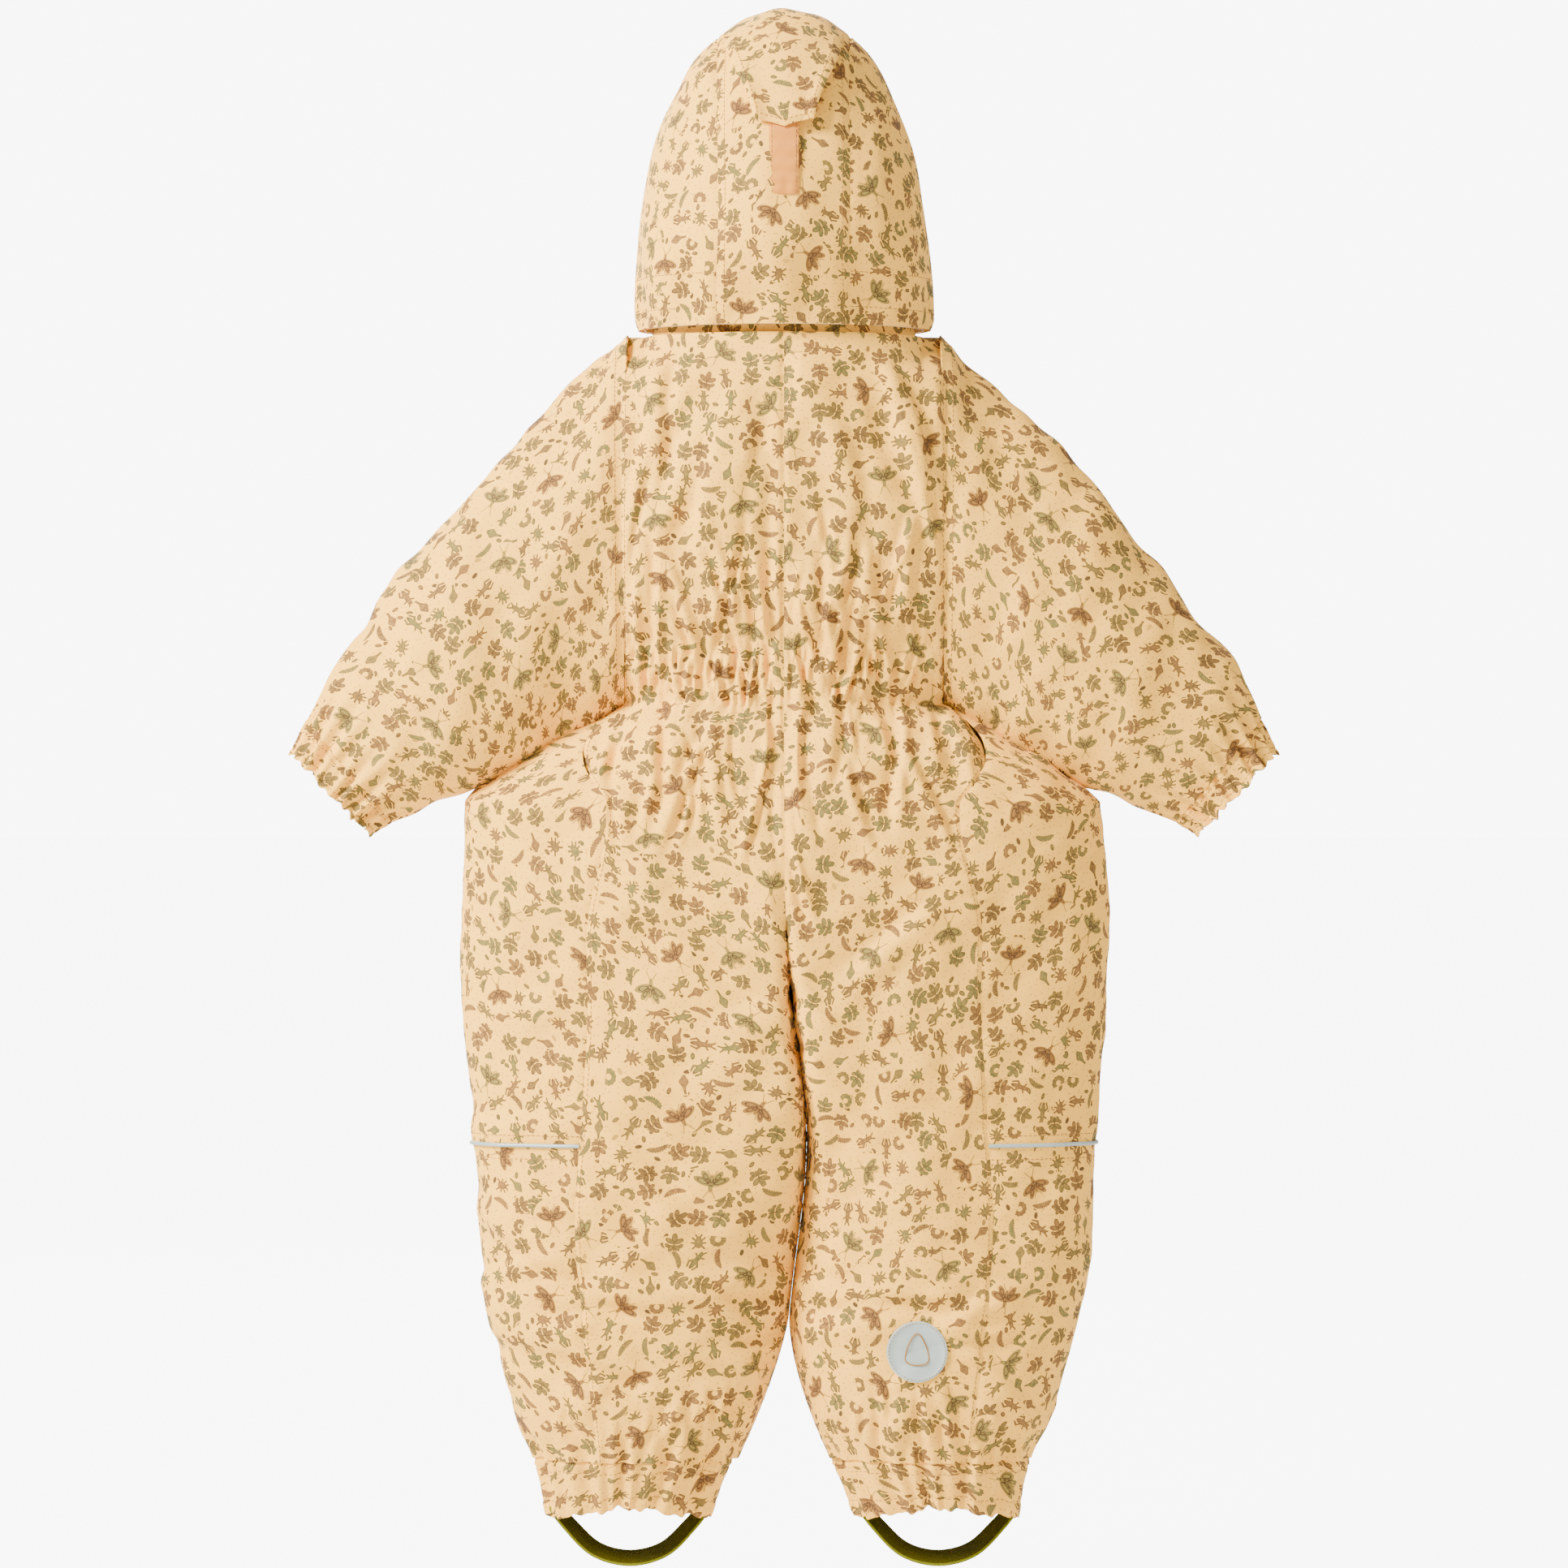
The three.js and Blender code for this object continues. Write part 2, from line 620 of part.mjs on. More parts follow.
add('zip_bottom_stop', block(6.4, TOOTH_DEPTH + 0.8, 2.6, 0, zipY, ZIP_BOTTOM + 1.35), zipPlastic);

const sliderFront = zipY - TOOTH_DEPTH / 2 - PLATE_GAP;
const sliderBack = zipY + TOOTH_DEPTH / 2 + PLATE_GAP;
const pinY = sliderFront - PLATE - 2.9;
const pinZ = ZIP_TRAVEL_TOP + 4;
function rod(radius, length) {
  const bar = new THREE.CylinderGeometry(radius, radius, length, 16);
  return bar.rotateZ(Math.PI / 2).translate(0, pinY, pinZ);
}
function sliderBody() {
  const z = ZIP_TRAVEL_TOP;
  const front = block(SLIDER_WIDTH, PLATE, SLIDER_LENGTH, 0, sliderFront - PLATE / 2, z);
  const back = block(SLIDER_WIDTH - 1, PLATE, SLIDER_LENGTH - 1, 0, sliderBack + PLATE / 2, z);
  const post = block(1.2, sliderBack - sliderFront + 1, 5, 0, (sliderBack + sliderFront) / 2, z + 5);
  const pin = rod(PIN_RADIUS, 6.4);
  let body = solid(front).add(solid(back)).add(solid(post)).add(solid(pin));
  for (const sign of [-1, 1]) {
    const ear = block(1.2, 4.4, 3.6, sign * 3, pinY + 1.1, pinZ);
    body = body.add(solid(ear));
  }
  return geometryOf(body);
}
add('zip_slider', sliderBody(), zipPlastic);

function pullTab() {
  const shape = new THREE.Shape();
  shape.absarc(0, 0, PULL_EYE, 0, Math.PI, false);
  shape.lineTo(-PULL_HALF, -2 * PULL_HALF);
  shape.lineTo(-PULL_HALF, -PULL_REACH);
  shape.absarc(0, -PULL_REACH, PULL_HALF, Math.PI, 2 * Math.PI, false);
  shape.lineTo(PULL_HALF, -2 * PULL_HALF);
  shape.closePath();
  const flat = { depth: PULL_THICK, bevelEnabled: false, curveSegments: 8 };
  const plate = new THREE.ExtrudeGeometry(shape, flat);
  plate.rotateX(Math.PI / 2).translate(0, pinY + PULL_THICK / 2, pinZ);
  const eye = rod(PULL_EYE, 3.8);
  const hole = rod(PIN_RADIUS + PIN_PLAY, 6);
  const waist = block(8, 3, 6, 2 + 3.9, pinY, pinZ);
  const otherWaist = block(8, 3, 6, -2 - 3.9, pinY, pinZ);
  let body = solid(plate).subtract(solid(waist)).subtract(solid(otherWaist));
  body = body.add(solid(eye)).subtract(solid(hole));
  return geometryOf(body);
}
add('zip_pull', pullTab(), zipPlastic);

// The wind guard behind the zip is sewn to the wearer's left front.
function guardSurface(u, v) {
  const x = mix(-TAPE_EDGE + 1, TAPE_EDGE + GUARD_LAP, u);
  const z = mix(GUARD_BOTTOM, -COLLAR_TUCK - 4, v);
  const sewn = smooth((x - 10) / 7);
  const sewnY = torsoDepth(Math.max(x, TAPE_EDGE), Math.min(z, -SHOULDER_SLOPE), -1) - CLOTH - 3 * SEAT;
  return new THREE.Vector3(x, -mix(FRONT_DEPTH - GUARD_SETBACK, sewnY, sewn), z);
}
add('wind_guard', sheet(guardSurface, 10, 10, -GUARD_THICK, 0), shellCloth);

// The chin guard lines the top of the zip, behind the collar's open ends.
function chinSurface(u, v) {
  const x = mix(-TAPE_EDGE - 3, TAPE_EDGE + CHIN_LAP, u);
  const z = mix(CHIN_BOTTOM, COLLAR_HEIGHT, v);
  const y = -(collarFront * round(x / NECK_HALF) - CLOTH - 3 * SEAT);
  return new THREE.Vector3(x, y, z);
}
add('chin_guard', sheet(chinSurface, 8, 2, -GUARD_THICK, 0), shellCloth);

// ---------- inside the neck ----------
function hangerSurface(u, v) {
  const along = mix(1, -1, u);
  const z = -1 - HANGER_DROP * round(along) + (v - 0.5) * HANGER_WIDTH;
  const x = HANGER_HALF * along;
  const behind = collarPoint(Math.asin(x / NECK_HALF), Math.max(z, -COLLAR_TUCK)).y;
  return new THREE.Vector3(x, behind - CLOTH - 2 * SEAT, z);
}
add('hanger_loop', sheet(hangerSurface, 14, 1, -1, 0), zipTape);
function labelSurface(u, v) {
  const x = mix(LABEL_HALF, -LABEL_HALF, u);
  const z = mix(LABEL_BOTTOM, LABEL_TOP, v);
  return new THREE.Vector3(x, collarPoint(Math.asin(x / NECK_HALF), z).y - CLOTH - SEAT, z);
}
add('neck_label', sheet(labelSurface, 4, 1, -0.8, 0), labelCloth);

// ---------- hood ----------
const hoodHalf = (z) => HOOD_HALF * Math.max(0, 1 - (Math.max(z, 0) / HOOD_TOP) ** 3.2) ** 0.6;
const hoodTopAt = (x) => HOOD_TOP * (1 - (Math.abs(x) / HOOD_HALF) ** (1 / 0.6)) ** (1 / 3.2);
const hoodBackAt = (z) => {
  const full = HOOD_RIDGE_Y + (HOOD_BACK - HOOD_RIDGE_Y) * Math.max(0, 1 - (z / HOOD_TOP) ** 3) ** 0.55;
  return full - (HOOD_BACK - HOOD_HEM_BACK) * (1 - smooth((z - HOOD_HEM) / 60));
};
const hoodFrontAt = (z) => {
  const reach = mix(HOOD_HEM_FRONT, HOOD_FRONT, smooth((z - HOOD_HEM) / 90)) + HOOD_RIDGE_Y;
  return HOOD_RIDGE_Y - reach * Math.max(0, 1 - (z / HOOD_TOP) ** 6) ** 0.5;
};

// A point on the hood at a height, turned by `angle` from its back.
function hoodRing(angle, z) {
  const middle = (hoodBackAt(z) + hoodFrontAt(z)) / 2;
  const depth = (hoodBackAt(z) - hoodFrontAt(z)) / 2;
  return new THREE.Vector3(hoodHalf(z) * Math.sin(angle), middle + depth * Math.cos(angle), z);
}

// A point on the strip that runs from the back hem over the top to the face.
function hoodStrip(x, degrees) {
  const angle = THREE.MathUtils.degToRad(degrees);
  const z = HOOD_HEM + (hoodTopAt(x) - HOOD_HEM) * Math.sin(angle);
  const middle = (hoodBackAt(z) + hoodFrontAt(z)) / 2;
  const share = Math.min(1, x / Math.max(hoodHalf(z), 1e-6));
  const depth = (hoodBackAt(z) - hoodFrontAt(z)) / 2 * round(share);
  return new THREE.Vector3(x, middle + (degrees <= 90 ? depth : -depth), z);
}

const stripHalf = HOOD_CENTRE_HALF - SEAM_GAP;
const hoodPanel = (from, to) => (u, v) => hoodStrip(mix(-stripHalf, stripHalf, u), mix(from, to, v));
const facing = (surface) => (u, v) => surface(1 - u, v);
add('hood_centre_panel', sheet(facing(hoodPanel(0, CROWN_ANGLE - 0.3)), 6, 10), shellCloth);
add('hood_top_panel', sheet(facing(hoodPanel(CROWN_ANGLE + 0.3, BRIM_ANGLE)), 6, 6), shellCloth);

const hoodSeamAngle = (z) => Math.asin(clamp(HOOD_CENTRE_HALF / hoodHalf(z)));
const faceAngle = (z) => {
  const wide = THREE.MathUtils.degToRad(mix(163, 139, smooth((z - HOOD_HEM) / 70)));
  return Math.min(wide, Math.PI - hoodSeamAngle(z));
};
const sideTop = hoodTopAt(HOOD_CENTRE_HALF) - 2;
function hoodSide(u, v) {
  const z = mix(HOOD_HEM, sideTop, v);
  return hoodRing(mix(hoodSeamAngle(z), faceAngle(z), 1 - u), z);
}
const hoodSpine = [
  sheet(facing(hoodPanel(0, CROWN_ANGLE - 0.3)), 6, 10, -CLOTH, 0, SEAM_GAP),
  sheet(facing(hoodPanel(CROWN_ANGLE + 0.3, BRIM_ANGLE)), 6, 6, -CLOTH, 0, SEAM_GAP),
];
pair('hood_side', (turn) => trimmed(sheet(turn(hoodSide), 7, 9), ...hoodSpine), shellCloth);

// The binding lies just in front of the hood's face edge.
function faceLine() {
  const points = [];
  const brimZ = hoodStrip(HOOD_CENTRE_HALF, BRIM_ANGLE).z;
  for (let i = 0; i <= 6; i += 1) {
    const z = mix(HOOD_HEM + 3, brimZ - 6, i / 6);
    points.push(hoodRing(faceAngle(z), z).add(new THREE.Vector3(-1.5, -2.6, 0)));
  }
  for (const share of [0.75, 0.4]) {
    points.push(hoodStrip(HOOD_CENTRE_HALF * share, BRIM_ANGLE).add(new THREE.Vector3(0, -2.2, -1.6)));
  }
  const left = points.map((point) => new THREE.Vector3(-point.x, point.y, point.z)).reverse();
  const middle = hoodStrip(0, BRIM_ANGLE).add(new THREE.Vector3(0, -2.2, -1.6));
  return new THREE.CatmullRomCurve3([...points, middle, ...left]);
}
function binding() {
  const section = new THREE.Shape();
  section.absarc(0, 0, BINDING_RADIUS, 0, 2 * Math.PI, false);
  return new THREE.ExtrudeGeometry(section, { steps: 34, extrudePath: faceLine(), curveSegments: 3 });
}
add('hood_face_binding', binding(), shellCloth);

// The band inside the hood's hem carries the sockets and stays with them.
const bandTop = HOOD_HEM + HEM_BAND_HEIGHT;
const bandAngle = THREE.MathUtils.degToRad(160);
const bandSurface = (u, v) => {
  return hoodRing(mix(bandAngle, -bandAngle, u), HOOD_HEM).setZ(mix(HOOD_HEM, bandTop, v));
};
const bandOuter = -CLOTH - 4 * SEAT;
const bandInner = bandOuter - BAND_THICK;
const bandSheet = sheet(bandSurface, 28, 1, bandInner, bandOuter);
const hoodWalls = [hoodSide, mirrored(hoodSide)].map((wall) => sheet(wall, 7, 9, -CLOTH, 0, SEAT));
add('hood_hem_band', trimmed(bandSheet, ...hoodWalls, ...hoodSpine), shellCloth);

function fastener(place, out) {
  const outside = (point) => point.dot(out);
  const turn = Math.atan2(out.x, out.y);
  const stud = outside(collarPoint(turn, STUD_Z)) + 1.5 * SEAT;
  const socket = stud + STUD_THICK + SEAT;
  const seat = outside(hoodRing(turn, HOOD_HEM)) + bandInner - 6 * SEAT;
  const parts = [
    ['collar_stud', stud, STUD_THICK, STUD_RADIUS - 0.5],
    ['hood_socket', socket, seat - socket, STUD_RADIUS],
  ];
  for (const [name, from, thick, radius] of parts) {
    const disc = new THREE.CylinderGeometry(radius, radius, thick, 20);
    disc.applyQuaternion(new THREE.Quaternion().setFromUnitVectors(new THREE.Vector3(0, 1, 0), out));
    const at = out.clone().multiplyScalar(from + thick / 2).setZ(STUD_Z);
    add(`${name}_${place}`, disc.translate(at.x, at.y, at.z), studMetal);
  }
}
fastener('back', new THREE.Vector3(0, 1, 0));
fastener('left', new THREE.Vector3(1, 0, 0));
fastener('right', new THREE.Vector3(-1, 0, 0));

// ---------- adjuster tab and loop strip on the back of the hood ----------
// A strip follows the centre panel at a height z and is raised by `lift`.
function downBack(x, z, lift) {
  const degrees = THREE.MathUtils.radToDeg(Math.asin(clamp((z - HOOD_HEM) / (hoodTopAt(x) - HOOD_HEM))));
  const point = (dx, turn) => hoodStrip(x + dx, Math.min(degrees + turn, 89));
  const normal = point(0, 1).sub(point(0, -1)).cross(point(1, 0).sub(point(-1, 0))).normalize();
  return point(0, 0).addScaledVector(normal, lift);
}
const loopSurface = (u, v) => {
  const x = mix(LOOP_STRIP_HALF, -LOOP_STRIP_HALF, u);
  return downBack(x, mix(LOOP_STRIP_BOTTOM, LOOP_STRIP_TOP, v), SEAT);
};
add('loop_strip', sheet(loopSurface, 2, 6, 0, STRIP_THICK), hookCloth);

const tabHalfAt = (t) => mix(TAB_TOP_HALF, TAB_SHOULDER_HALF, clamp(t));
const tabLift = 2 * SEAT + STRIP_THICK;
function tabSurface(u, v) {
  const t = 1 - v;
  const across = mix(1, -1, u);
  const point = TAB_POINT * (1 - Math.abs(across)) * smooth(t);
  const crown = hoodStrip(across * tabHalfAt(t), CROWN_ANGLE).z - 1.5;
  const z = crown - mix(0, TAB_LENGTH - TAB_POINT, t) - point;
  return downBack(across * tabHalfAt(t), z, tabLift + 1.4 * smooth(t * 3));
}
add('hood_tab', sheet(tabSurface, 8, 8, 0, CLOTH), shellCloth);
const hookSurface = (u, v) => {
  const z = LOOP_STRIP_TOP - mix(12, 2, v);
  return downBack(mix(HOOK_HALF, -HOOK_HALF, u), z, tabLift);
};
add('tab_hook_patch', sheet(hookSurface, 2, 2, 0, 1), hookCloth);

export default suit;
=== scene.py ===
"""A small child's hooded coverall of printed cloth, standing in the shape it has when worn."""
import math
import json

import bmesh
import bpy
import numpy as np
from bpy.props import FloatProperty, FloatVectorProperty, PointerProperty
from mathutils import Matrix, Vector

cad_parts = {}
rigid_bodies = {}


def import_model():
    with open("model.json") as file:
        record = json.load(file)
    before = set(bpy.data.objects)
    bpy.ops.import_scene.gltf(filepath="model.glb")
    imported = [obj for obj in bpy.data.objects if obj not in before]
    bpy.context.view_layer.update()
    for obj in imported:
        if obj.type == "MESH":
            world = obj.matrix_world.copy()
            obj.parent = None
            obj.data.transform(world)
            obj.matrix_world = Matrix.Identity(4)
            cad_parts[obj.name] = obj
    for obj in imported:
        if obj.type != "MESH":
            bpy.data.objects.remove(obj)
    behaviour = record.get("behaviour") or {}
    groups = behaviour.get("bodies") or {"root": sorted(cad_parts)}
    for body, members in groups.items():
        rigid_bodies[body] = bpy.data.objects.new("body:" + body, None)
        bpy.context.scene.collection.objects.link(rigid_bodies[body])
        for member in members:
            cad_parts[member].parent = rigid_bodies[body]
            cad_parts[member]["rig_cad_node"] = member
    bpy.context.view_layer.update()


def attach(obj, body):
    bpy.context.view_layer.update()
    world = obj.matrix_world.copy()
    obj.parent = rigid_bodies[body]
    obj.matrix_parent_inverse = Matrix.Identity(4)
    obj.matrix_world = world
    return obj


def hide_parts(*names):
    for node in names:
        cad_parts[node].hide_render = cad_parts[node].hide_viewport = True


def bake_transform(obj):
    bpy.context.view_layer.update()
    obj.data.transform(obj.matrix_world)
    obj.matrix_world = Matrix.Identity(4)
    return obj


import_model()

bl_info = {
    "name": "Hooded coverall",
    "version": (1, 0, 0),
    "blender": (4, 5, 0),
    "location": "View3D > Sidebar > Coverall",
    "description": "Builds a small child's printed coverall with hood, elastics and foot straps",
    "category": "Object",
}

MM = 0.001

# ---------- the suit's measures, in millimetres ----------
SHOULDER_HALF, NECK_HALF, NECK_BACK, FRONT_DEPTH = 107, 92, 56, 68
CHEST_BACK, WAIST_BACK, SEAT_BACK, SHOULDER_SLOPE = 66, 54, 70, 30
UNDERARM, ARMHOLE_DEPTH, FLARE_HEIGHT, WAIST, HIP = -243, 50, 66, -240, -400
CROTCH, KNEE, SHIN, ANKLE, HEM = -455, -536, -650, -746, -780
KNEE_DEPTH, SHIN_DEPTH, ANKLE_DEPTH, HEM_DEPTH, HEM_INNER = 60, 54, 43, 33, 48
CUFF_X, CUFF_Z, CUFF_DEPTH, SLEEVE_DEPTH = 301, -303, 24, 46
HOOD_HALF, HOOD_TOP, HOOD_HEM, HOOD_CENTRE_HALF = 97, 222, 5, 44
HOOD_BACK, HOOD_FRONT, HOOD_HEM_BACK, HOOD_HEM_FRONT, HOOD_RIDGE = 80, 100, 62, 76, -20
CROWN_ANGLE, BRIM_ANGLE = 70, 116
COLLAR_HEIGHT, COLLAR_TUCK, COLLAR_LEAN, TAPE_EDGE = 34, 6, 5, 14
CUFF_START = 1 - 22 / 250
CLOTH_THICK = 1.3
FOLD_LIMIT = 3.8
BRIEF_LINE, BRIEF_RISE = 394, 0.3
HEM_OUTER = 157
ANKLE_MIDDLE = (HEM_INNER + HEM_OUTER) / 2
SLEEVE_ROOT = 107.6
ZIP_FACE = 67.6
COLLAR_GAP = 3.75
MIDDLE_FAN = math.radians(73)
STITCH_GAP, STITCH_LIFT = 0.9, 0.12
FULL_TURN, QUARTER_TURN = 6.283, 1.5708
HOOD_MIDDLE = np.array([0, HOOD_RIDGE + 12, 96.0])
BEHIND = np.array([0, 60.0, 0])
SIDES = (("left", 1), ("right", -1))


# ---------- small helpers ----------
def mix(a, b, t):
    return a + (b - a) * t


def clamp(t):
    return np.clip(t, 0.0, 1.0)


def smooth(t):
    t = clamp(t)
    return t * t * (3 - 2 * t)


def rounded(t):
    return np.sqrt(np.maximum(0.0, 1 - np.minimum(np.abs(t), 1) ** 2))


def bell(t):
    return np.exp(-t * t)


def lattice(left, right, columns, top, bottom, rows):
    """Two arrays of rows by columns: one runs evenly across, the other evenly down."""
    return np.meshgrid(np.linspace(left, right, columns), np.linspace(top, bottom, rows))


def around(ring):
    """A ring of points or directions, closed by its first one."""
    return np.concatenate([ring, ring[:1]])


def through(stations, z):
    """A smooth line through a few (height, size) stations, listed from the top down."""
    heights, sizes = (np.array(c, float) for c in zip(*stations))
    last = len(heights) - 1
    slopes = np.array([
        (sizes[min(last, k + 1)] - sizes[max(0, k - 1)])
        / (heights[min(last, k + 1)] - heights[max(0, k - 1)])
        for k in range(last + 1)
    ])
    z = np.asarray(z, float)
    i = np.clip(np.searchsorted(-heights, -z, side="right") - 1, 0, last - 1)
    step = heights[i + 1] - heights[i]
    t = clamp((z - heights[i]) / step)
    start = sizes[i] * (2 * t**3 - 3 * t**2 + 1) + slopes[i] * step * (t**3 - 2 * t**2 + t)
    return start + sizes[i + 1] * (3 * t**2 - 2 * t**3) + slopes[i + 1] * step * (t**3 - t**2)


def ripple(x, y, z, size, seed):
    """Soft irregular waves of about `size` millimetres, between -1 and 1."""
    rng = np.random.default_rng(seed)
    total = 0.0
    for _ in range(7):
        way = rng.normal(size=3)
        way *= rng.uniform(0.7, 1.5) * 2 * math.pi / size / np.linalg.norm(way)
        total = total + np.sin(way[0] * x + way[1] * y + way[2] * z + rng.uniform(0, 6.3))
    return total / 4


# ---------- the shape of the body and legs ----------
def flare(z):
    return 1 - (1 - clamp((UNDERARM - z) / FLARE_HEIGHT)) ** 1.25


def half_width(z):
    stations = [(-309, 212), (HIP, 216), (KNEE, 208), (SHIN, 196), (ANKLE, 167), (HEM, HEM_OUTER)]
    return mix(SHOULDER_HALF, through(stations, z), flare(z))


def middle_depth(z, side):
    back = through([(0, NECK_BACK), (-90, CHEST_BACK), (WAIST, WAIST_BACK),
                    (WAIST - 90, SEAT_BACK), (CROTCH, SEAT_BACK)], z)
    return np.where(side > 0, back, FRONT_DEPTH)


def armhole_depth(z):
    half = -UNDERARM / 2
    return ARMHOLE_DEPTH * rounded((z + half) / half)


def torso_depth(x, z, side):
    middle = middle_depth(z, side)
    edge = np.where(z > UNDERARM, armhole_depth(z), 0)
    full = np.sqrt(edge**2 + (middle**2 - edge**2) * rounded(x / half_width(z)) ** 2)
    neck = np.maximum(2.4, middle_depth(0.0, side) * rounded(x / NECK_HALF))
    top = clamp(1 + z / SHOULDER_SLOPE)
    return mix(full, neck, mix(smooth(top), 1 - rounded(top), 0.5))


def inseam(z):
    wide = mix(0.05, HEM_INNER, clamp((SHIN - z) / (SHIN - HEM)) ** 1.5)
    return np.where(z < CROTCH, wide * smooth((CROTCH - z) / 14), 0.0)


def leg_half(z):
    return (half_width(z) - inseam(z)) / 2


def leg_depth(z):
    return through([(CROTCH, KNEE_DEPTH + 4), (KNEE, KNEE_DEPTH), (SHIN, SHIN_DEPTH),
                    (ANKLE, ANKLE_DEPTH), (HEM, HEM_DEPTH)], z)


def body_depth(x, z, side):
    """The depth of the outer face at x, from the neckline down to the ankle."""
    low = np.minimum(z, CROTCH)
    half = leg_half(low)
    across = np.clip((x - inseam(z)) / half - 1, -1, 1)
    closing = np.where(across < 0, np.sqrt(np.maximum(0, 1 - across**36)), 1)
    groove = smooth(1 - (z - CROTCH) / 75)
    hip = middle_depth(np.maximum(z, CROTCH), side) * rounded(x / half_width(z))
    upper = torso_depth(x, z, side)
    depth = np.where(z > CROTCH, upper, hip) * (1 - groove * (1 - closing))
    down = smooth((CROTCH - z) / (CROTCH - SHIN))
    return mix(depth, leg_depth(low) * rounded(across), down)


def side_x(z, turn):
    """Across the side panel: turn 1 is its back seam, 0 the side of the body, -1 its front."""
    body = np.radians(mix(10, 57 - 4 * smooth((-320 - z) / 80), flare(z)))
    leg = np.radians(mix(77, 69, smooth((CROTCH - z) / 150)))
    low = np.minimum(z, CROTCH)
    on_leg = inseam(low) + leg_half(low) * (1 + np.cos(leg * turn))
    return mix(half_width(z) * np.cos(body * turn), on_leg, smooth((-425 - z) / 60))


def row_heights(step):
    top = np.arange(0, 40, step * 0.5)
    return np.concatenate([top, np.arange(40, -ANKLE + step * 0.5, step)]).clip(0, -ANKLE)


def sheared(down, x):
    """Rows dip toward the middle at the top of the legs, like the line of a brief."""
    near = smooth((down - 270) / (BRIEF_LINE - 270)) * smooth((540 - down) / (540 - BRIEF_LINE))
    return -down + (x - 60) * BRIEF_RISE * near


def panel_x(part, z, share):
    """x at a share of the way across a panel, from the middle line or the back seam."""
    if part == "side":
        return side_x(z, 1 - 2 * share)
    seam = np.where(z > UNDERARM, SHOULDER_HALF, side_x(z, 1.0))
    first = TAPE_EDGE * smooth((z + 470) / 24) if part == "front" else 0.0
    first = first + inseam(z)
    return first + (seam - first) * share


def body_grid(part, step, columns):
    """Rows and columns of points on one half of the body, on the wearer's left."""
    down = row_heights(step)[:, None]
    if part == "side":
        share = np.linspace(0, 1, columns)[None, :]
    else:
        angle = np.linspace(math.pi, MIDDLE_FAN, columns)
        share = ((1 + np.cos(angle)) / (1 + math.cos(MIDDLE_FAN)))[None, :]
    z = -down + 0 * share
    for _ in range(5):
        x = panel_x(part, z, share)
        z = sheared(down, x)
    x = panel_x(part, z, share)
    if part == "side":
        side = np.where(share <= 0.5, 1, -1) + 0 * z
    else:
        side = np.full_like(z, 1 if part == "back" else -1)
    return np.stack([x, side * body_depth(x, z, side), z], axis=-1)


def leg_ring(angle, z):
    """A point on the outside of the left leg below the crotch."""
    across = np.cos(angle)
    x = inseam(z) + leg_half(z) * (1 + across)
    side = np.where(np.sin(angle) >= 0, 1, -1)
    return np.stack([x, side * body_depth(x, z, side), z + 0 * x], axis=-1)


# ---------- sleeves ----------
def bezier(points, t):
    a, b, c, d = (np.array(p, float) for p in points)
    t = t[..., None]
    return a * (1 - t) ** 3 + 3 * b * t * (1 - t) ** 2 + 3 * c * t**2 * (1 - t) + d * t**3


def sleeve_point(u, v):
    over = bezier([(SLEEVE_ROOT, 0, -1), (200, 0, -92), (300, 0, -192),
                   (CUFF_X + 26, 0, CUFF_Z + 27)], v)
    root = np.array([SLEEVE_ROOT, 0, UNDERARM - 5.0])
    end = np.array([CUFF_X - 26.0, 0, CUFF_Z - 27])
    under = root + (end - root) * v[..., None]
    under[..., 2] -= 5 * np.sin(math.pi * clamp(v * 1.25)) ** 1.5
    middle, across = (over + under) / 2, (over - under) / 2
    depth = mix(mix(ARMHOLE_DEPTH, SLEEVE_DEPTH, smooth(v * 2)), CUFF_DEPTH,
                smooth((v - 0.45) / 0.55))
    angle = -2 * math.pi * u
    point = middle + across * np.cos(angle)[..., None]
    point[..., 1] += depth * np.sin(angle)
    return point


# ---------- hood ----------
def hood_half(z):
    return HOOD_HALF * np.maximum(0, 1 - (np.maximum(z, 0) / HOOD_TOP) ** 3.2) ** 0.6


def hood_top_at(x):
    return HOOD_TOP * np.maximum(0, 1 - (np.abs(x) / HOOD_HALF) ** (1 / 0.6)) ** (1 / 3.2)


def hood_back_at(z):
    rise = np.maximum(0, 1 - (z / HOOD_TOP) ** 3) ** 0.55
    full = HOOD_RIDGE + (HOOD_BACK - HOOD_RIDGE) * rise
    return full - (HOOD_BACK - HOOD_HEM_BACK) * (1 - smooth((z - HOOD_HEM) / 60))


def hood_front_at(z):
    reach = mix(HOOD_HEM_FRONT, HOOD_FRONT, smooth((z - HOOD_HEM) / 90)) + HOOD_RIDGE
    return HOOD_RIDGE - reach * np.maximum(0, 1 - (z / HOOD_TOP) ** 6) ** 0.5


def hood_ring(angle, z):
    middle = (hood_back_at(z) + hood_front_at(z)) / 2
    depth = (hood_back_at(z) - hood_front_at(z)) / 2
    return np.stack([hood_half(z) * np.sin(angle), middle + depth * np.cos(angle), z + 0 * angle],
                    axis=-1)


def hood_strip(x, degrees):
    z = HOOD_HEM + (hood_top_at(x) - HOOD_HEM) * np.sin(np.radians(degrees))
    middle = (hood_back_at(z) + hood_front_at(z)) / 2
    share = rounded(x / np.maximum(hood_half(z), 1e-6))
    depth = (hood_back_at(z) - hood_front_at(z)) / 2 * share
    return np.stack([x + 0 * z, middle + np.where(degrees <= 90, depth, -depth), z], axis=-1)


def face_angle(z):
    wide = np.radians(mix(163, 139, smooth((z - HOOD_HEM) / 70)))
    return np.minimum(wide, math.pi - np.arcsin(clamp(HOOD_CENTRE_HALF / hood_half(z))))


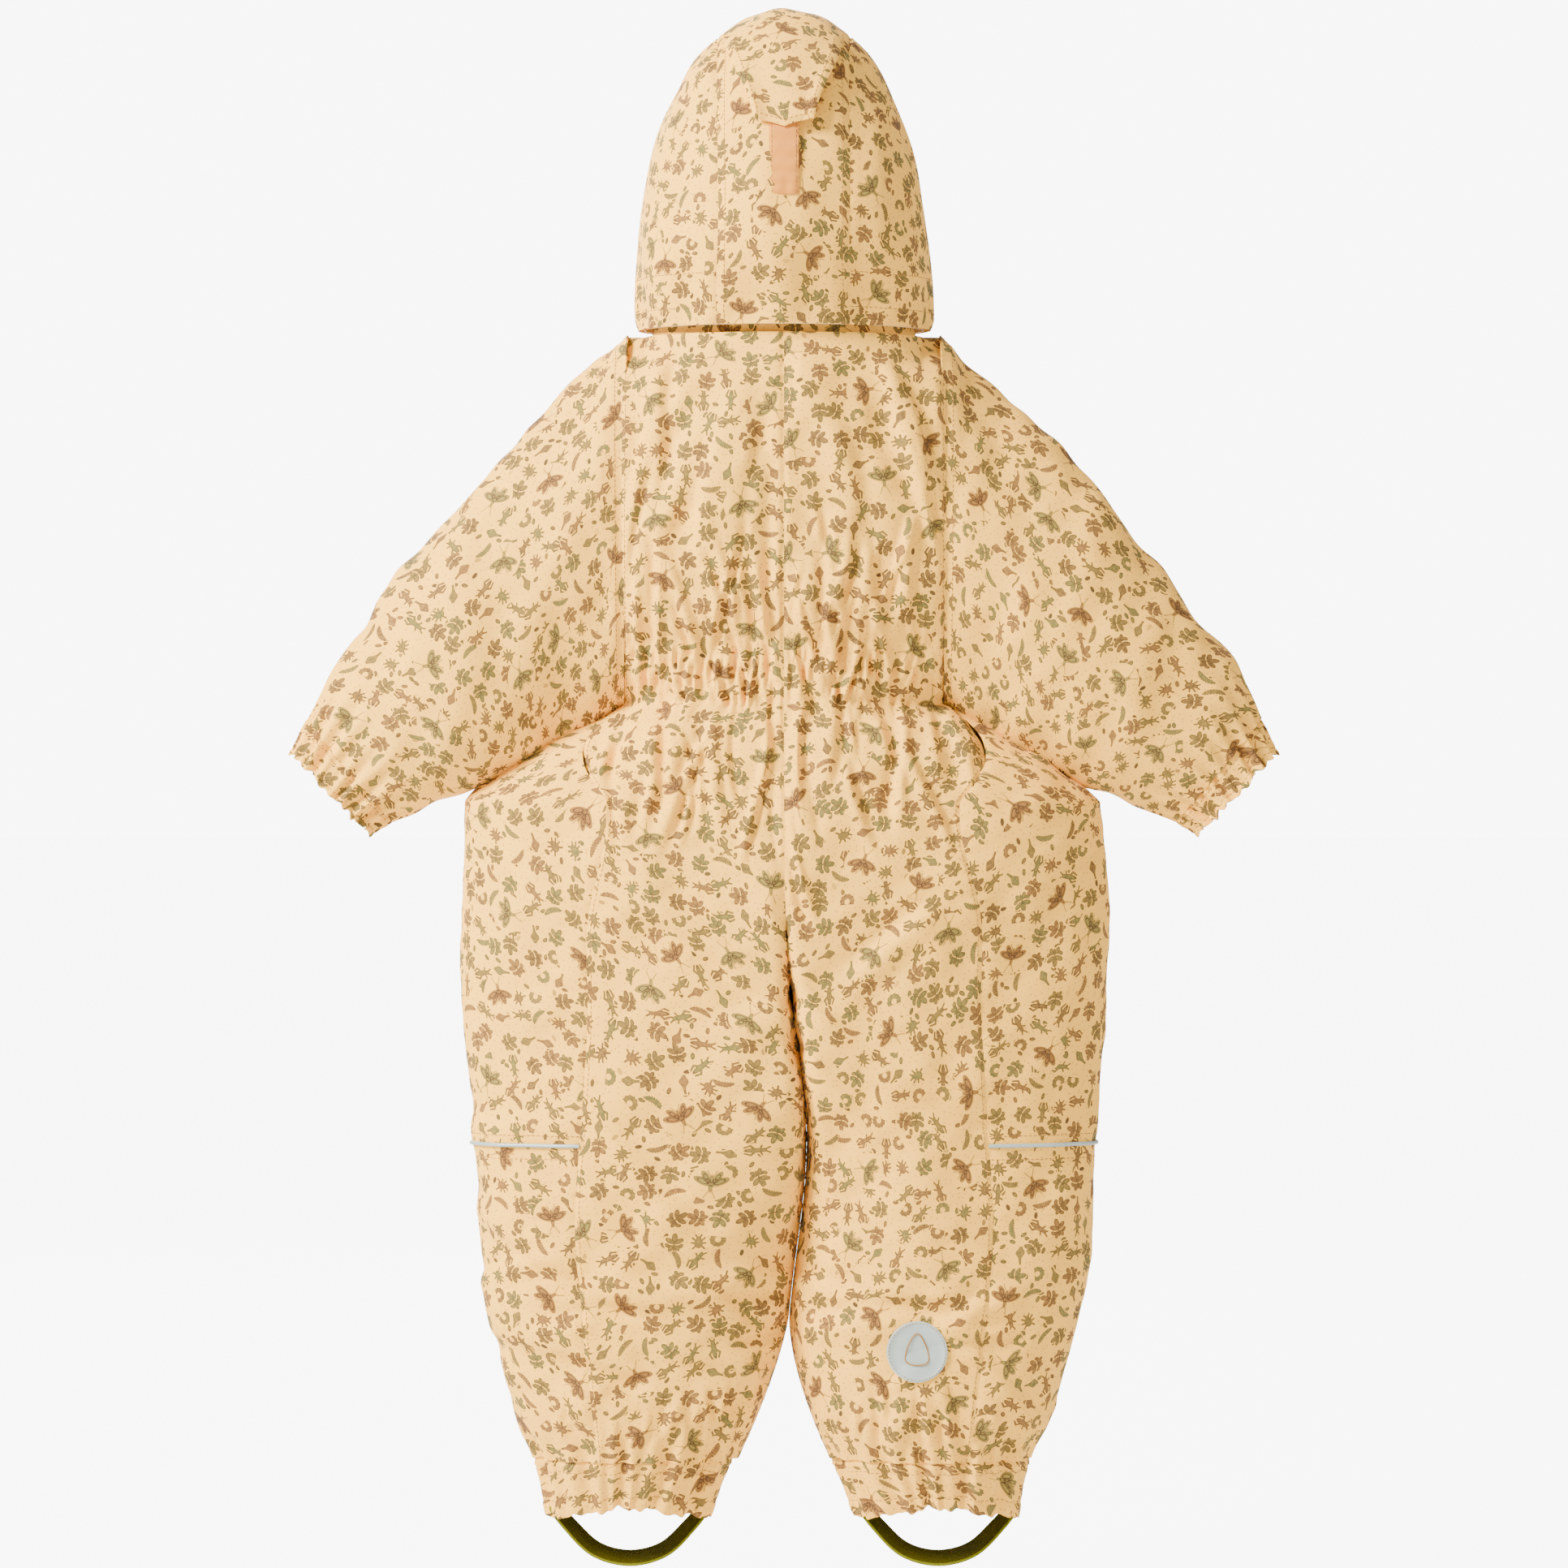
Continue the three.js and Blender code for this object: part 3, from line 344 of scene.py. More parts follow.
def down_back(x, z, lift):
    """A point at height z on the back of the hood, raised from it by `lift`."""
    degrees = np.degrees(np.arcsin(clamp((z - HOOD_HEM) / (hood_top_at(x) - HOOD_HEM))))

    def near(dx, turn):
        return hood_strip(x + dx, np.minimum(degrees + turn, 89))

    normal = np.cross(near(0, 1) - near(0, -1), near(1, 0) - near(-1, 0))
    normal /= np.linalg.norm(normal, axis=-1, keepdims=True)
    return near(0, 0) + normal * np.asarray(lift)[..., None]


# ---------- collar and front ----------
def collar_point(angle, z):
    lean = COLLAR_LEAN * clamp((z + COLLAR_TUCK) / (COLLAR_HEIGHT + COLLAR_TUCK)) + 3.4
    back = np.cos(angle) >= 0
    depth = np.where(back, NECK_BACK - lean, FRONT_DEPTH - COLLAR_GAP)
    return np.stack([(NECK_HALF - lean) * np.sin(angle), depth * np.cos(angle), z + 0 * angle],
                    axis=-1)


# ---------- turning points into cloth ----------
def mirrored(grid):
    out = grid[:, ::-1].copy()
    out[..., 0] *= -1
    return out


def normals(grid, closed=False):
    """Unit normals of a grid of points, by its rows and columns."""
    if closed:
        across = np.roll(grid, -1, axis=1) - np.roll(grid, 1, axis=1)
    else:
        across = np.gradient(grid, axis=1)
    down = np.gradient(grid, axis=0)
    normal = np.cross(across, down)
    length = np.linalg.norm(normal, axis=-1, keepdims=True)
    normal = normal / np.maximum(length, 1e-9)
    for _ in range(2):
        normal[1:-1] = (normal[:-2] + 2 * normal[1:-1] + normal[2:]) / 4
    length = np.linalg.norm(normal, axis=-1, keepdims=True)
    return normal / np.maximum(length, 1e-9)


def outward(grid, centre, closed=False):
    normal = normals(grid, closed)
    away = grid - centre
    return -normal if (normal * away).sum() < 0 else normal


def lengths(grid):
    """Distances along the rows and down the columns, for laying a pattern flat."""
    across = np.linalg.norm(np.diff(grid, axis=1), axis=-1)
    down = np.linalg.norm(np.diff(grid, axis=0), axis=-1)
    u = np.concatenate([np.zeros((grid.shape[0], 1)), np.cumsum(across, axis=1)], axis=1)
    v = np.concatenate([np.zeros((1, grid.shape[1])), np.cumsum(down, axis=0)], axis=0)
    middle = u[:, u.shape[1] // 2][:, None]
    return u - middle, v.mean(axis=1, keepdims=True) + 0 * v


def cut_size(grid):
    """Width, length and area in metres of the flat cut that makes a grid."""
    u, _ = lengths(grid)
    width = float((u[:, -1] - u[:, 0]).max()) * MM
    length = float(np.linalg.norm(np.diff(grid, axis=0), axis=-1).sum(axis=0).max()) * MM
    a = np.linalg.norm(np.cross(grid[1:, :-1] - grid[:-1, :-1], grid[:-1, 1:] - grid[:-1, :-1]),
                       axis=-1)
    area = float(a.sum()) * MM * MM
    return width, length, min(max(area, 0.31 * width * length), width * length)


def flat_layer(mesh, uv):
    layer = mesh.uv_layers.new(name="cloth")
    index = np.empty(len(mesh.loops), np.int32)
    mesh.loops.foreach_get("vertex_index", index)
    layer.data.foreach_set("uv", uv[index].astype(np.float32).ravel())


def new_piece(name, points, faces, materials, slots=None, uv=None, sharp=50):
    """A mesh piece from points in millimetres and four-sided faces."""
    mesh = bpy.data.meshes.new(name)
    count = len(faces)
    mesh.vertices.add(len(points))
    mesh.vertices.foreach_set("co", (np.asarray(points) * MM).astype(np.float32).ravel())
    mesh.loops.add(count * 4)
    mesh.loops.foreach_set("vertex_index", np.asarray(faces, np.int32).ravel())
    mesh.polygons.add(count)
    mesh.polygons.foreach_set("loop_start", np.arange(0, count * 4, 4, dtype=np.int32))
    mesh.polygons.foreach_set("use_smooth", np.ones(count, bool))
    if slots is not None:
        mesh.polygons.foreach_set("material_index", np.asarray(slots, np.int32))
    mesh.update(calc_edges=True)
    mesh.validate()
    if uv is not None:
        flat_layer(mesh, np.asarray(uv) * MM)
    for material in materials:
        mesh.materials.append(material)
    mesh.set_sharp_from_angle(angle=math.radians(sharp))
    piece = bpy.data.objects.new(name, mesh)
    bpy.context.scene.collection.objects.link(piece)
    return piece


def cloth_piece(name, grid, normal, materials, thick=None, closed=False, uv=None):
    """A sheet with an outer face on the grid and a lining face inside it."""
    if thick is None:
        thick = round(bpy.context.scene.coverall_sizes.cloth / MM, 4)
    rows, columns = grid.shape[:2]
    outer = grid.reshape(-1, 3)
    inner = (grid - normal * thick).reshape(-1, 3)
    if uv is None:
        uv = np.stack(lengths(grid), axis=-1)
    flat = uv.reshape(-1, 2)
    index = np.arange(rows * columns).reshape(rows, columns)
    nxt = np.roll(index, -1, axis=1) if closed else index[:, 1:]
    now = index if closed else index[:, :-1]
    quads = np.stack([now[:-1], nxt[:-1], nxt[1:], now[1:]], axis=-1).reshape(-1, 4)
    a, b, c = outer[quads[:, 0]], outer[quads[:, 1]], outer[quads[:, 3]]
    facing = (np.cross(b - a, c - a) * normal.reshape(-1, 3)[quads[:, 0]]).sum()
    if facing < 0:
        quads = quads[:, ::-1]
    back = quads[:, ::-1] + rows * columns
    rims = [np.stack([now[0], nxt[0]], -1), np.stack([nxt[-1], now[-1]], -1)]
    if not closed:
        rims.append(np.stack([index[1:, 0], index[:-1, 0]], -1))
        rims.append(np.stack([index[:-1, -1], index[1:, -1]], -1))
    edge = np.concatenate(rims)
    if facing < 0:
        edge = edge[:, ::-1]
    rim = np.stack([edge[:, 1], edge[:, 0], edge[:, 0] + rows * columns,
                    edge[:, 1] + rows * columns], axis=-1)
    faces = np.concatenate([quads, back, rim])
    slots = np.concatenate([np.zeros(len(quads)), np.ones(len(back)), np.zeros(len(rim))])
    if len(materials) == 1:
        slots[:] = 0
    points = np.concatenate([outer, inner])
    return new_piece(name, points, faces, materials, slots, np.concatenate([flat, flat]))


def tube_piece(name, path, radius, material, sides, closed=False, up=(0, 0, 1)):
    """A round cord or bead of thread along a path in millimetres."""
    path = np.asarray(path, float)
    along = np.roll(path, -1, 0) - np.roll(path, 1, 0) if closed else np.gradient(path, axis=0)
    along /= np.linalg.norm(along, axis=-1, keepdims=True)
    side = np.cross(along, np.asarray(up, float) + 0 * along)
    side /= np.maximum(np.linalg.norm(side, axis=-1, keepdims=True), 1e-9)
    top = np.cross(side, along)
    turn = np.linspace(0, 2 * math.pi, sides, endpoint=False)
    radius = np.broadcast_to(np.asarray(radius, float), (len(path),))[:, None, None]
    ring = path[:, None] + radius * (side[:, None] * np.cos(turn)[None, :, None]
                                     + top[:, None] * np.sin(turn)[None, :, None])
    index = np.arange(len(path) * sides).reshape(len(path), sides)
    nxt = np.roll(index, -1, axis=1)
    if closed:
        quads = np.stack([index, nxt, np.roll(nxt, -1, 0), np.roll(index, -1, 0)], -1)
    else:
        quads = np.stack([index[:-1], nxt[:-1], nxt[1:], index[1:]], -1)
    quads = quads.reshape(-1, 4)
    points = ring.reshape(-1, 3)
    if not closed:
        ends = []
        for row, flip in ((0, 1), (-1, -1)):
            loop = index[row][::flip]
            for k in range(1, sides // 2):
                ends.append([loop[k - 1], loop[k], loop[sides - 1 - k], loop[-k % sides]])
        quads = np.concatenate([quads, np.array(ends)])
    u = np.concatenate([[0], np.cumsum(np.linalg.norm(np.diff(path, axis=0), axis=-1))])
    uv = np.stack(np.broadcast_arrays(turn[None, :] * 3, u[:, None]), -1).reshape(-1, 2)
    piece = new_piece(name, points, quads, [material], None, uv)
    recalculate(piece)
    return piece


def recalculate(piece):
    work = bmesh.new()
    work.from_mesh(piece.data)
    bmesh.ops.recalc_face_normals(work, faces=work.faces)
    work.to_mesh(piece.data)
    work.free()


def stitches(name, path, normal, material, pitch=3.4):
    """A row of sewn stitches along a path, each a short rounded bead of thread."""
    path, normal = np.asarray(path, float), np.asarray(normal, float)
    along = np.concatenate([[0], np.cumsum(np.linalg.norm(np.diff(path, axis=0), axis=-1))])
    count = max(1, int(along[-1] / pitch))
    starts = (np.arange(count) + 0.5) * along[-1] / count
    share = np.array([-0.5, -0.3, 0.3, 0.5]) * (pitch - STITCH_GAP)
    at = starts[:, None] + share
    spots = np.stack([np.interp(at, along, path[:, k]) for k in range(3)], -1)
    out = np.stack([np.interp(at, along, normal[:, k]) for k in range(3)], -1)
    run = spots[:, -1:] - spots[:, :1]
    run = run / np.maximum(np.linalg.norm(run, axis=-1, keepdims=True), 1e-9)
    side = np.cross(run, out)
    side /= np.maximum(np.linalg.norm(side, axis=-1, keepdims=True), 1e-9)
    rise = np.array([-0.1, STITCH_LIFT, STITCH_LIFT, -0.1])[None, :, None]
    wide = np.array([0.1, 0.26, 0.26, 0.1])[None, :, None]
    corners = [spots + out * (rise + 0.16), spots + out * rise + side * wide,
               spots + out * (rise - 0.16), spots + out * rise - side * wide]
    ring = np.stack(corners, axis=2)
    index = np.arange(count * 16).reshape(count, 4, 4)
    nxt = np.roll(index, -1, axis=2)
    quads = np.stack([index[:, :-1], index[:, 1:], nxt[:, 1:], nxt[:, :-1]], -1).reshape(-1, 4)
    ends = np.concatenate([index[:, 0, ::-1], index[:, -1]])
    piece = new_piece(name, ring.reshape(-1, 3), np.concatenate([quads, ends]), [material])
    recalculate(piece)
    return piece


# ---------- writing patterns as nodes ----------
class Number:
    """A value in a node tree that can be worked with like a number."""

    def __init__(self, tree, socket):
        self.tree, self.socket = tree, socket

    def op(self, kind, *others, clamped=False):
        node = self.tree.nodes.new("ShaderNodeMath")
        node.operation, node.use_clamp = kind, clamped
        for slot, value in zip(node.inputs, (self, *others)):
            if isinstance(value, Number):
                self.tree.links.new(value.socket, slot)
            else:
                slot.default_value = float(value)
        return Number(self.tree, node.outputs[0])

    def __add__(self, other):
        return self.op("ADD", other)

    def __sub__(self, other):
        return self.op("SUBTRACT", other)

    def __rsub__(self, other):
        return self.op("MULTIPLY_ADD", -1, other)

    def __mul__(self, other):
        return self.op("MULTIPLY", other)

    def __truediv__(self, other):
        return self.op("DIVIDE", other)

    def __abs__(self):
        return self.op("ABSOLUTE")

    def least(self, other):
        return self.op("MINIMUM", other)

    def most(self, other):
        return self.op("MAXIMUM", other)

    def sine(self):
        return self.op("SINE")

    def length(self, other):
        return self.op("MULTIPLY", self).op("ADD", other * other).op("SQRT")

    def over(self, level):
        return self.op("GREATER_THAN", level)

    def ink(self, soft=0.28):
        """1 inside a drawn shape, where the value is below zero, with a soft edge."""
        return self.op("MULTIPLY_ADD", -1 / soft, 0.5, clamped=True)


def new_group(name, inputs, outputs):
    tree = bpy.data.node_groups.new(name, "ShaderNodeTree")
    for title, kind in inputs:
        tree.interface.new_socket(name=title, in_out="INPUT", socket_type=kind)
    for title, kind in outputs:
        tree.interface.new_socket(name=title, in_out="OUTPUT", socket_type=kind)
    return tree, tree.nodes.new("NodeGroupInput"), tree.nodes.new("NodeGroupOutput")


def add_node(tree, kind, vector=None, **values):
    """A new shader node, with its vector linked and its other inputs set by their names."""
    node = tree.nodes.new("ShaderNode" + kind)
    if vector is not None:
        tree.links.new(vector, node.inputs[0] if kind == "SeparateXYZ" else node.inputs["Vector"])
    for title, value in values.items():
        node.inputs[title.replace("_", " ")].default_value = value
    return node


def axes(tree, vector):
    node = add_node(tree, "SeparateXYZ", vector)
    return Number(tree, node.outputs[0]), Number(tree, node.outputs[1])


def scaled(tree, vector, size):
    node = tree.nodes.new("ShaderNodeVectorMath")
    node.operation = "SCALE"
    tree.links.new(vector, node.inputs[0])
    node.inputs["Scale"].default_value = size
    return node.outputs[0]


def blend_colour(tree, share, first, second):
    node = tree.nodes.new("ShaderNodeMix")
    node.data_type = "RGBA"
    sockets = [s for s in node.inputs if s.type == "RGBA"]
    for slot, value in ((node.inputs[0], share), (sockets[0], first), (sockets[1], second)):
        if isinstance(value, Number):
            tree.links.new(value.socket, slot)
        elif isinstance(value, bpy.types.NodeSocket):
            tree.links.new(value, slot)
        else:
            slot.default_value = value
    return [s for s in node.outputs if s.type == "RGBA"][0]


def tint(red, green, blue):
    """A colour given as it looks, from 0 to 255, as the shader wants it."""
    return tuple(((c / 255 + 0.055) / 1.055) ** 2.4 if c > 10 else c / 3295
                 for c in (red, green, blue)) + (1.0,)


def scattered(tree, vector, pitch, randomness):
    """One drawing to each scattered spot: its own x and y in millimetres, and three draws."""
    node = add_node(tree, "TexVoronoi", vector, Scale=1 / pitch, Randomness=randomness)
    node.voronoi_dimensions = "2D"
    away = tree.nodes.new("ShaderNodeVectorMath")
    away.operation = "SUBTRACT"
    tree.links.new(vector, away.inputs[0])
    tree.links.new(node.outputs["Position"], away.inputs[1])
    x, y = axes(tree, away.outputs[0])
    draws = tree.nodes.new("ShaderNodeSeparateColor")
    tree.links.new(node.outputs["Color"], draws.inputs[0])
    first, second, third = (Number(tree, s) for s in draws.outputs)
    turn = first * FULL_TURN
    cosine, sine = (turn + QUARTER_TURN).sine(), turn.sine()
    return x * cosine + y * sine, y * cosine - x * sine, second, third


def oval(x, y, at_x, at_y, half_x, half_y, tilt=0.0):
    dx, dy = x - at_x, y - at_y
    if tilt:
        c, s = math.cos(math.radians(tilt)), math.sin(math.radians(tilt))
        dx, dy = dx * c + dy * s, dy * c - dx * s
    return ((dx / half_x).length(dy / half_y) - 1) * min(half_x, half_y)


def stroke(x, y, start, end, half=0.18):
    dx, dy = end[0] - start[0], end[1] - start[1]
    px, py = x - start[0], y - start[1]
    t = (px * dx + py * dy).op("DIVIDE", dx * dx + dy * dy, clamped=True)
    return (px - t * dx).length(py - t * dy) - half


def drawn(shapes):
    whole = shapes[0]
    for shape in shapes[1:]:
        whole = whole.least(shape)
    return whole


def caterpillar(x, y):
    bent = abs(y + x * x * 0.035 - 1)
    near = (x / 7.2).op("POWER", 2)
    taper = 1 - near * near
    return bent - ((x * 3.6).sine() * 0.38 + 1.45) * taper


def grub(x, y):
    r = x.length(y)
    turn = y.op("ARCTAN2", x)
    return (abs(r - 3.7) - ((turn * 11).sine() * 0.3 + 1.2)).most(-1.6 - y)


def sprig(x, y):
    side = abs(x)
    return drawn([
        oval(side, y, 0, 4.4, 1.5, 2.7), oval(side, y, 3.1, 1.9, 1.35, 2.5, -58),
        oval(side, y, 2.2, -3.9, 1.1, 1.8, 28), oval(side, y, 4.6, -1.6, 0.9, 1.3, -40),
        stroke(side, y, (0, -5), (0, 3)), stroke(side, y, (0, -2), (4.4, -1.4), 0.12),
    ])


def cricket(x, y):
    side = abs(y)
    return drawn([
        oval(x, y, -0.6, 0, 5.4, 1.35), oval(x, y, 5, 0, 1.4, 1.1),
        stroke(x, side, (-0.5, 0.8), (-3.4, 3.6), 0.34), stroke(x, side, (-3.4, 3.6), (-7.2, 2.2)),
        stroke(x, side, (2.4, 0.8), (3.8, 3.4)), stroke(x, side, (5.6, 0.5), (9, 2.1), 0.12),
    ])


def seed(x, y):
    body = bell_node((y + 2.1) / 2.9) * 2.5 + 0.32
    return (abs(x + y * y * 0.012) - body).most(abs(y) - 6.2)


def bell_node(t):
    return (t * t * -1).op("EXPONENT")


def beetle(x, y):
    side = abs(x)
    return drawn([
        oval(side, y, 0, -0.6, 2.3, 2.9), oval(side, y, 0, 3, 1.2, 1.1),
        stroke(side, y, (1.6, 1.2), (4, 3.4)), stroke(side, y, (1.8, -0.4), (4.5, -0.2)),
        stroke(side, y, (1.6, -2), (3.8, -4.4)), stroke(side, y, (0.5, 3.6), (2, 5.6), 0.12),
    ])


def insect_print():
    """The cloth's print: scattered insects, sprigs and seeds, sparse large moths, and dots."""
    tree, start, end = new_group(
        "insect_print",
        [("Vector", "NodeSocketVector"), ("Ground", "NodeSocketColor")],
        [("Color", "NodeSocketColor"), ("Ink", "NodeSocketFloat")])
    vector = scaled(tree, start.outputs["Vector"], 1000)
    # small drawings
    x, y, kind, tone = scattered(tree, vector, 14.8, 0.5)
    x, y = x * 1.1, y * 1.1
    makers = [sprig, caterpillar, cricket, grub, sprig, seed, beetle, sprig, cricket]
    made = {}
    shape = None
    for place, maker in enumerate(makers):
        if maker not in made:
            made[maker] = maker(x, y)
        drawing = made[maker]
        if shape is None:
            shape = drawing
        else:
            pick = kind.over(place / len(makers))
            shape = shape + (drawing - shape) * pick
    shape = shape - 0.42
    # large moths
    mx, my, _, moth_tone = scattered(tree, vector, 58, 0.75)
    wing = abs(mx)
    upper = oval(wing, my, 4.8, -0.4, 5.6, 2.3, -24)
    lower = oval(wing, my, 3.4, -3.4, 4.2, 1.9, -58)
    wings = upper.least(lower)
    limbs = drawn([oval(wing, my, 0, 1, 1.3, 5.6), stroke(wing, my, (0.4, 5), (3.4, 11), 0.15),
                   stroke(wing, my, (0.6, -3.6), (2.8, -7.6), 0.15)])
    moth = wings.least(limbs)
    veins = abs(wings + 0.95).least(abs(upper)).least(abs(lower)).least(abs(limbs)) - 0.2
    clear = (mx.length(my) - 12.5).over(0)
    # single leaves between them
    lx, ly, _, leaf_tone = scattered(tree, vector, 9.5, 0.9)
    small = (oval(lx, ly, 0, 0, 2.0, 1.15) - 0.1).most(0.9 - shape)
    shape = shape.least(small.most(leaf_tone.op("MULTIPLY_ADD", 4, -2)))
    # colours
    olive, brown, clay, leaf = (tint(91, 77, 37), tint(88, 64, 34), tint(104, 70, 38),
                                tint(84, 83, 43))
    first = blend_colour(tree, tone.over(0.36), olive, clay)
    first = blend_colour(tree, tone.over(0.62), first, leaf)
    first = blend_colour(tree, tone.over(0.84), first, brown)
    fleck = add_node(tree, "TexNoise", vector, Scale=0.55, Detail=2)
    fleck.noise_dimensions = "2D"
    patchy = Number(tree, fleck.outputs[0]).op("MULTIPLY_ADD", 1.1, 0.12, clamped=True)
    fill = shape.ink() * patchy.op("MULTIPLY_ADD", 0.35, 0.66) * clear
    line = (abs(shape + 0.2) - 0.2).ink() * clear
    colour = blend_colour(tree, fill, start.outputs["Ground"], first)
    colour = blend_colour(tree, line * 0.75, colour, tint(67, 49, 24))
    wash = blend_colour(tree, moth_tone.over(0.5), tint(103, 64, 32), tint(100, 96, 46))
    colour = blend_colour(tree, moth.ink() * 0.85, colour, wash)
    colour = blend_colour(tree, veins.ink() * moth.ink(0.9), colour, tint(64, 43, 24))
    # dots
    dots = add_node(tree, "TexVoronoi", vector, Scale=1 / 4.6, Randomness=0.8)
    dots.voronoi_dimensions = "2D"
    speck = (Number(tree, dots.outputs["Distance"]) - 0.1).ink(0.06)
    free = (shape - 0.6).op("MULTIPLY", 4, clamped=True) * 0.6
    colour = blend_colour(tree, speck * free, colour, tint(125, 81, 41))
    tree.links.new(colour, end.inputs["Color"])
    tree.links.new(fill.most(line).socket, end.inputs["Ink"])
    return tree


def weave():
    """A fine over-and-under weave with uneven threads: its height, and a gentle change of tone."""
    tree, start, end = new_group(
        "weave",
        [("Vector", "NodeSocketVector"), ("Threads", "NodeSocketFloat"),
         ("Uneven", "NodeSocketFloat")],
        [("Height", "NodeSocketFloat"), ("Tone", "NodeSocketFloat")])
    x, y = axes(tree, start.outputs["Vector"])
    threads = Number(tree, start.outputs["Threads"])
    warp, weft = (x * threads * FULL_TURN).sine(), (y * threads * FULL_TURN).sine()
    noise = add_node(tree, "TexNoise", start.outputs["Vector"], Scale=90, Detail=3)
    rough = Number(tree, noise.outputs[0]) - 0.5
    height = warp * weft * 0.3 + rough * Number(tree, start.outputs["Uneven"]) + 0.5
    tree.links.new(height.socket, end.inputs["Height"])
    tree.links.new((rough * 0.5 + 0.5).socket, end.inputs["Tone"])
    return tree


def grain():
    """Faint uneven spots for moulded and plated parts."""
    tree, start, end = new_group("grain", [("Vector", "NodeSocketVector")],
                                 [("Value", "NodeSocketFloat")])
    noise = add_node(tree, "TexNoise", start.outputs["Vector"], Scale=400)
    tree.links.new(noise.outputs[0], end.inputs["Value"])
    return tree


def shared(tree, build):
    """A node that uses the effect of this name, which is built only once."""
    node = tree.nodes.new("ShaderNodeGroup")
    node.node_tree = bpy.data.node_groups.get(build.__name__) or build()
    return node


def new_finish(name, **values):
    """A material, its node tree and its shader, with the values that are the same all over."""
    material = bpy.data.materials.new(name)
    material.use_nodes = True
    tree = material.node_tree
    shader = tree.nodes["Principled BSDF"]
    for title, value in values.items():
        shader.inputs[title.replace("_", " ")].default_value = value
    return material, tree, shader


def cloth_finish(name, colour, rough=0.8, threads=1400, uneven=1.0, bump=0.12, sheen=0.03,
                 shade=0.12, metal=0.0, printed=False, gloss=0.16):
    """A woven finish, plain or with the suit's print on it."""
    if name in bpy.data.materials:
        return bpy.data.materials[name]
    material, tree, shader = new_finish(name, Roughness=rough, Metallic=metal, Sheen_Weight=sheen,
                                        Sheen_Roughness=0.5, Specular_IOR_Level=gloss)
    place = tree.nodes.new("ShaderNodeUVMap")
    place.uv_map = "cloth"
    fabric = shared(tree, weave)
    fabric.inputs["Threads"].default_value = threads
    fabric.inputs["Uneven"].default_value = uneven
    tree.links.new(place.outputs[0], fabric.inputs["Vector"])
    darker = tuple(c * (1 - shade) for c in colour[:3]) + (1.0,)
    ground = blend_colour(tree, Number(tree, fabric.outputs["Tone"]), darker, colour)
    if printed:
        drawing = shared(tree, insect_print)
        tree.links.new(place.outputs[0], drawing.inputs["Vector"])
        tree.links.new(ground, drawing.inputs["Ground"])
        ground = drawing.outputs["Color"]
    tree.links.new(ground, shader.inputs["Base Color"])
    relief = add_node(tree, "Bump", Strength=bump, Distance=0.0006)
    tree.links.new(fabric.outputs["Height"], relief.inputs["Height"])
    tree.links.new(relief.outputs[0], shader.inputs["Normal"])
    return material


def hard_finish(name, colour, rough, metal=0.0, wear=0.1):
    """A moulded or plated finish with faint uneven gloss."""
    material, tree, shader = new_finish(name, Metallic=metal)
    spots = shared(tree, grain)
    place = tree.nodes.new("ShaderNodeTexCoord")
    tree.links.new(place.outputs["Object"], spots.inputs["Vector"])
    spot = Number(tree, spots.outputs["Value"])
    tree.links.new(spot.op("MULTIPLY_ADD", wear, rough - wear / 2).socket,
                   shader.inputs["Roughness"])
    darker = tuple(c * 0.85 for c in colour[:3]) + (1.0,)
    tree.links.new(blend_colour(tree, spot, darker, colour), shader.inputs["Base Color"])
    return material


# ---------- folds and gathers ----------
def seam_dip(grid, normal, edges, depth=0.8, width=2.2):
    """Cloth sinks and puckers a little along its sewn edges."""
    u, v = lengths(grid)
    total = 0.0
    for edge in edges:
        if edge == "left":
            away, along = u - u[:, :1], v
        elif edge == "right":
            away, along = u[:, -1:] - u, v
        elif edge == "top":
            away, along = v - v[:1], u
        else:
            away, along = v[-1:] - v, u
        pucker = 0.45 * np.sin(along * 0.62 + 1.3 * np.sin(along * 0.11)) * bell(away / 9)
        total = total - depth * bell(away / width) + pucker * (1 - bell(away / 1.2))
    return grid + normal * np.asarray(total)[..., None]


def creases(x, z, lines):
    """The height of folds along lines, each (x, z, x, z, width, height), fading at their ends."""
    total = np.zeros_like(x)
    for x0, z0, x1, z1, width, height in lines:
        run = np.array([x1 - x0, z1 - z0])
        long = np.hypot(*run)
        along = ((x - x0) * run[0] + (z - z0) * run[1]) / long
        across = ((x - x0) * run[1] - (z - z0) * run[0]) / long
        across = (across + 0.06 * long * np.sin(along / long * 4 + x0)) / width
        fade = smooth(along / long / 0.35) * smooth((1 - along / long) / 0.35)
        total = total + height * fade * (bell(across) - 0.55 * bell((across - 1.5) / 0.75))
    return FOLD_LIMIT * np.tanh(total / FOLD_LIMIT)


def random_lines(seed, count, spots, lean, long, width, height):
    """Fold lines at random places: every size is a pair to draw between."""
    rng = np.random.default_rng(seed)
    lines = []
    for _ in range(count):
        x, z = rng.uniform(*spots[0]), rng.uniform(*spots[1])
        turn = math.radians(rng.uniform(*lean) + x * spots[2])
        half = rng.uniform(*long) / 2
        dx, dz = half * math.sin(turn), half * math.cos(turn)
        lines.append((x + dx, z + dz, x - dx, z - dz, rng.uniform(*width),
                      rng.uniform(*height) * rng.choice([1, 1, -1])))
    return lines


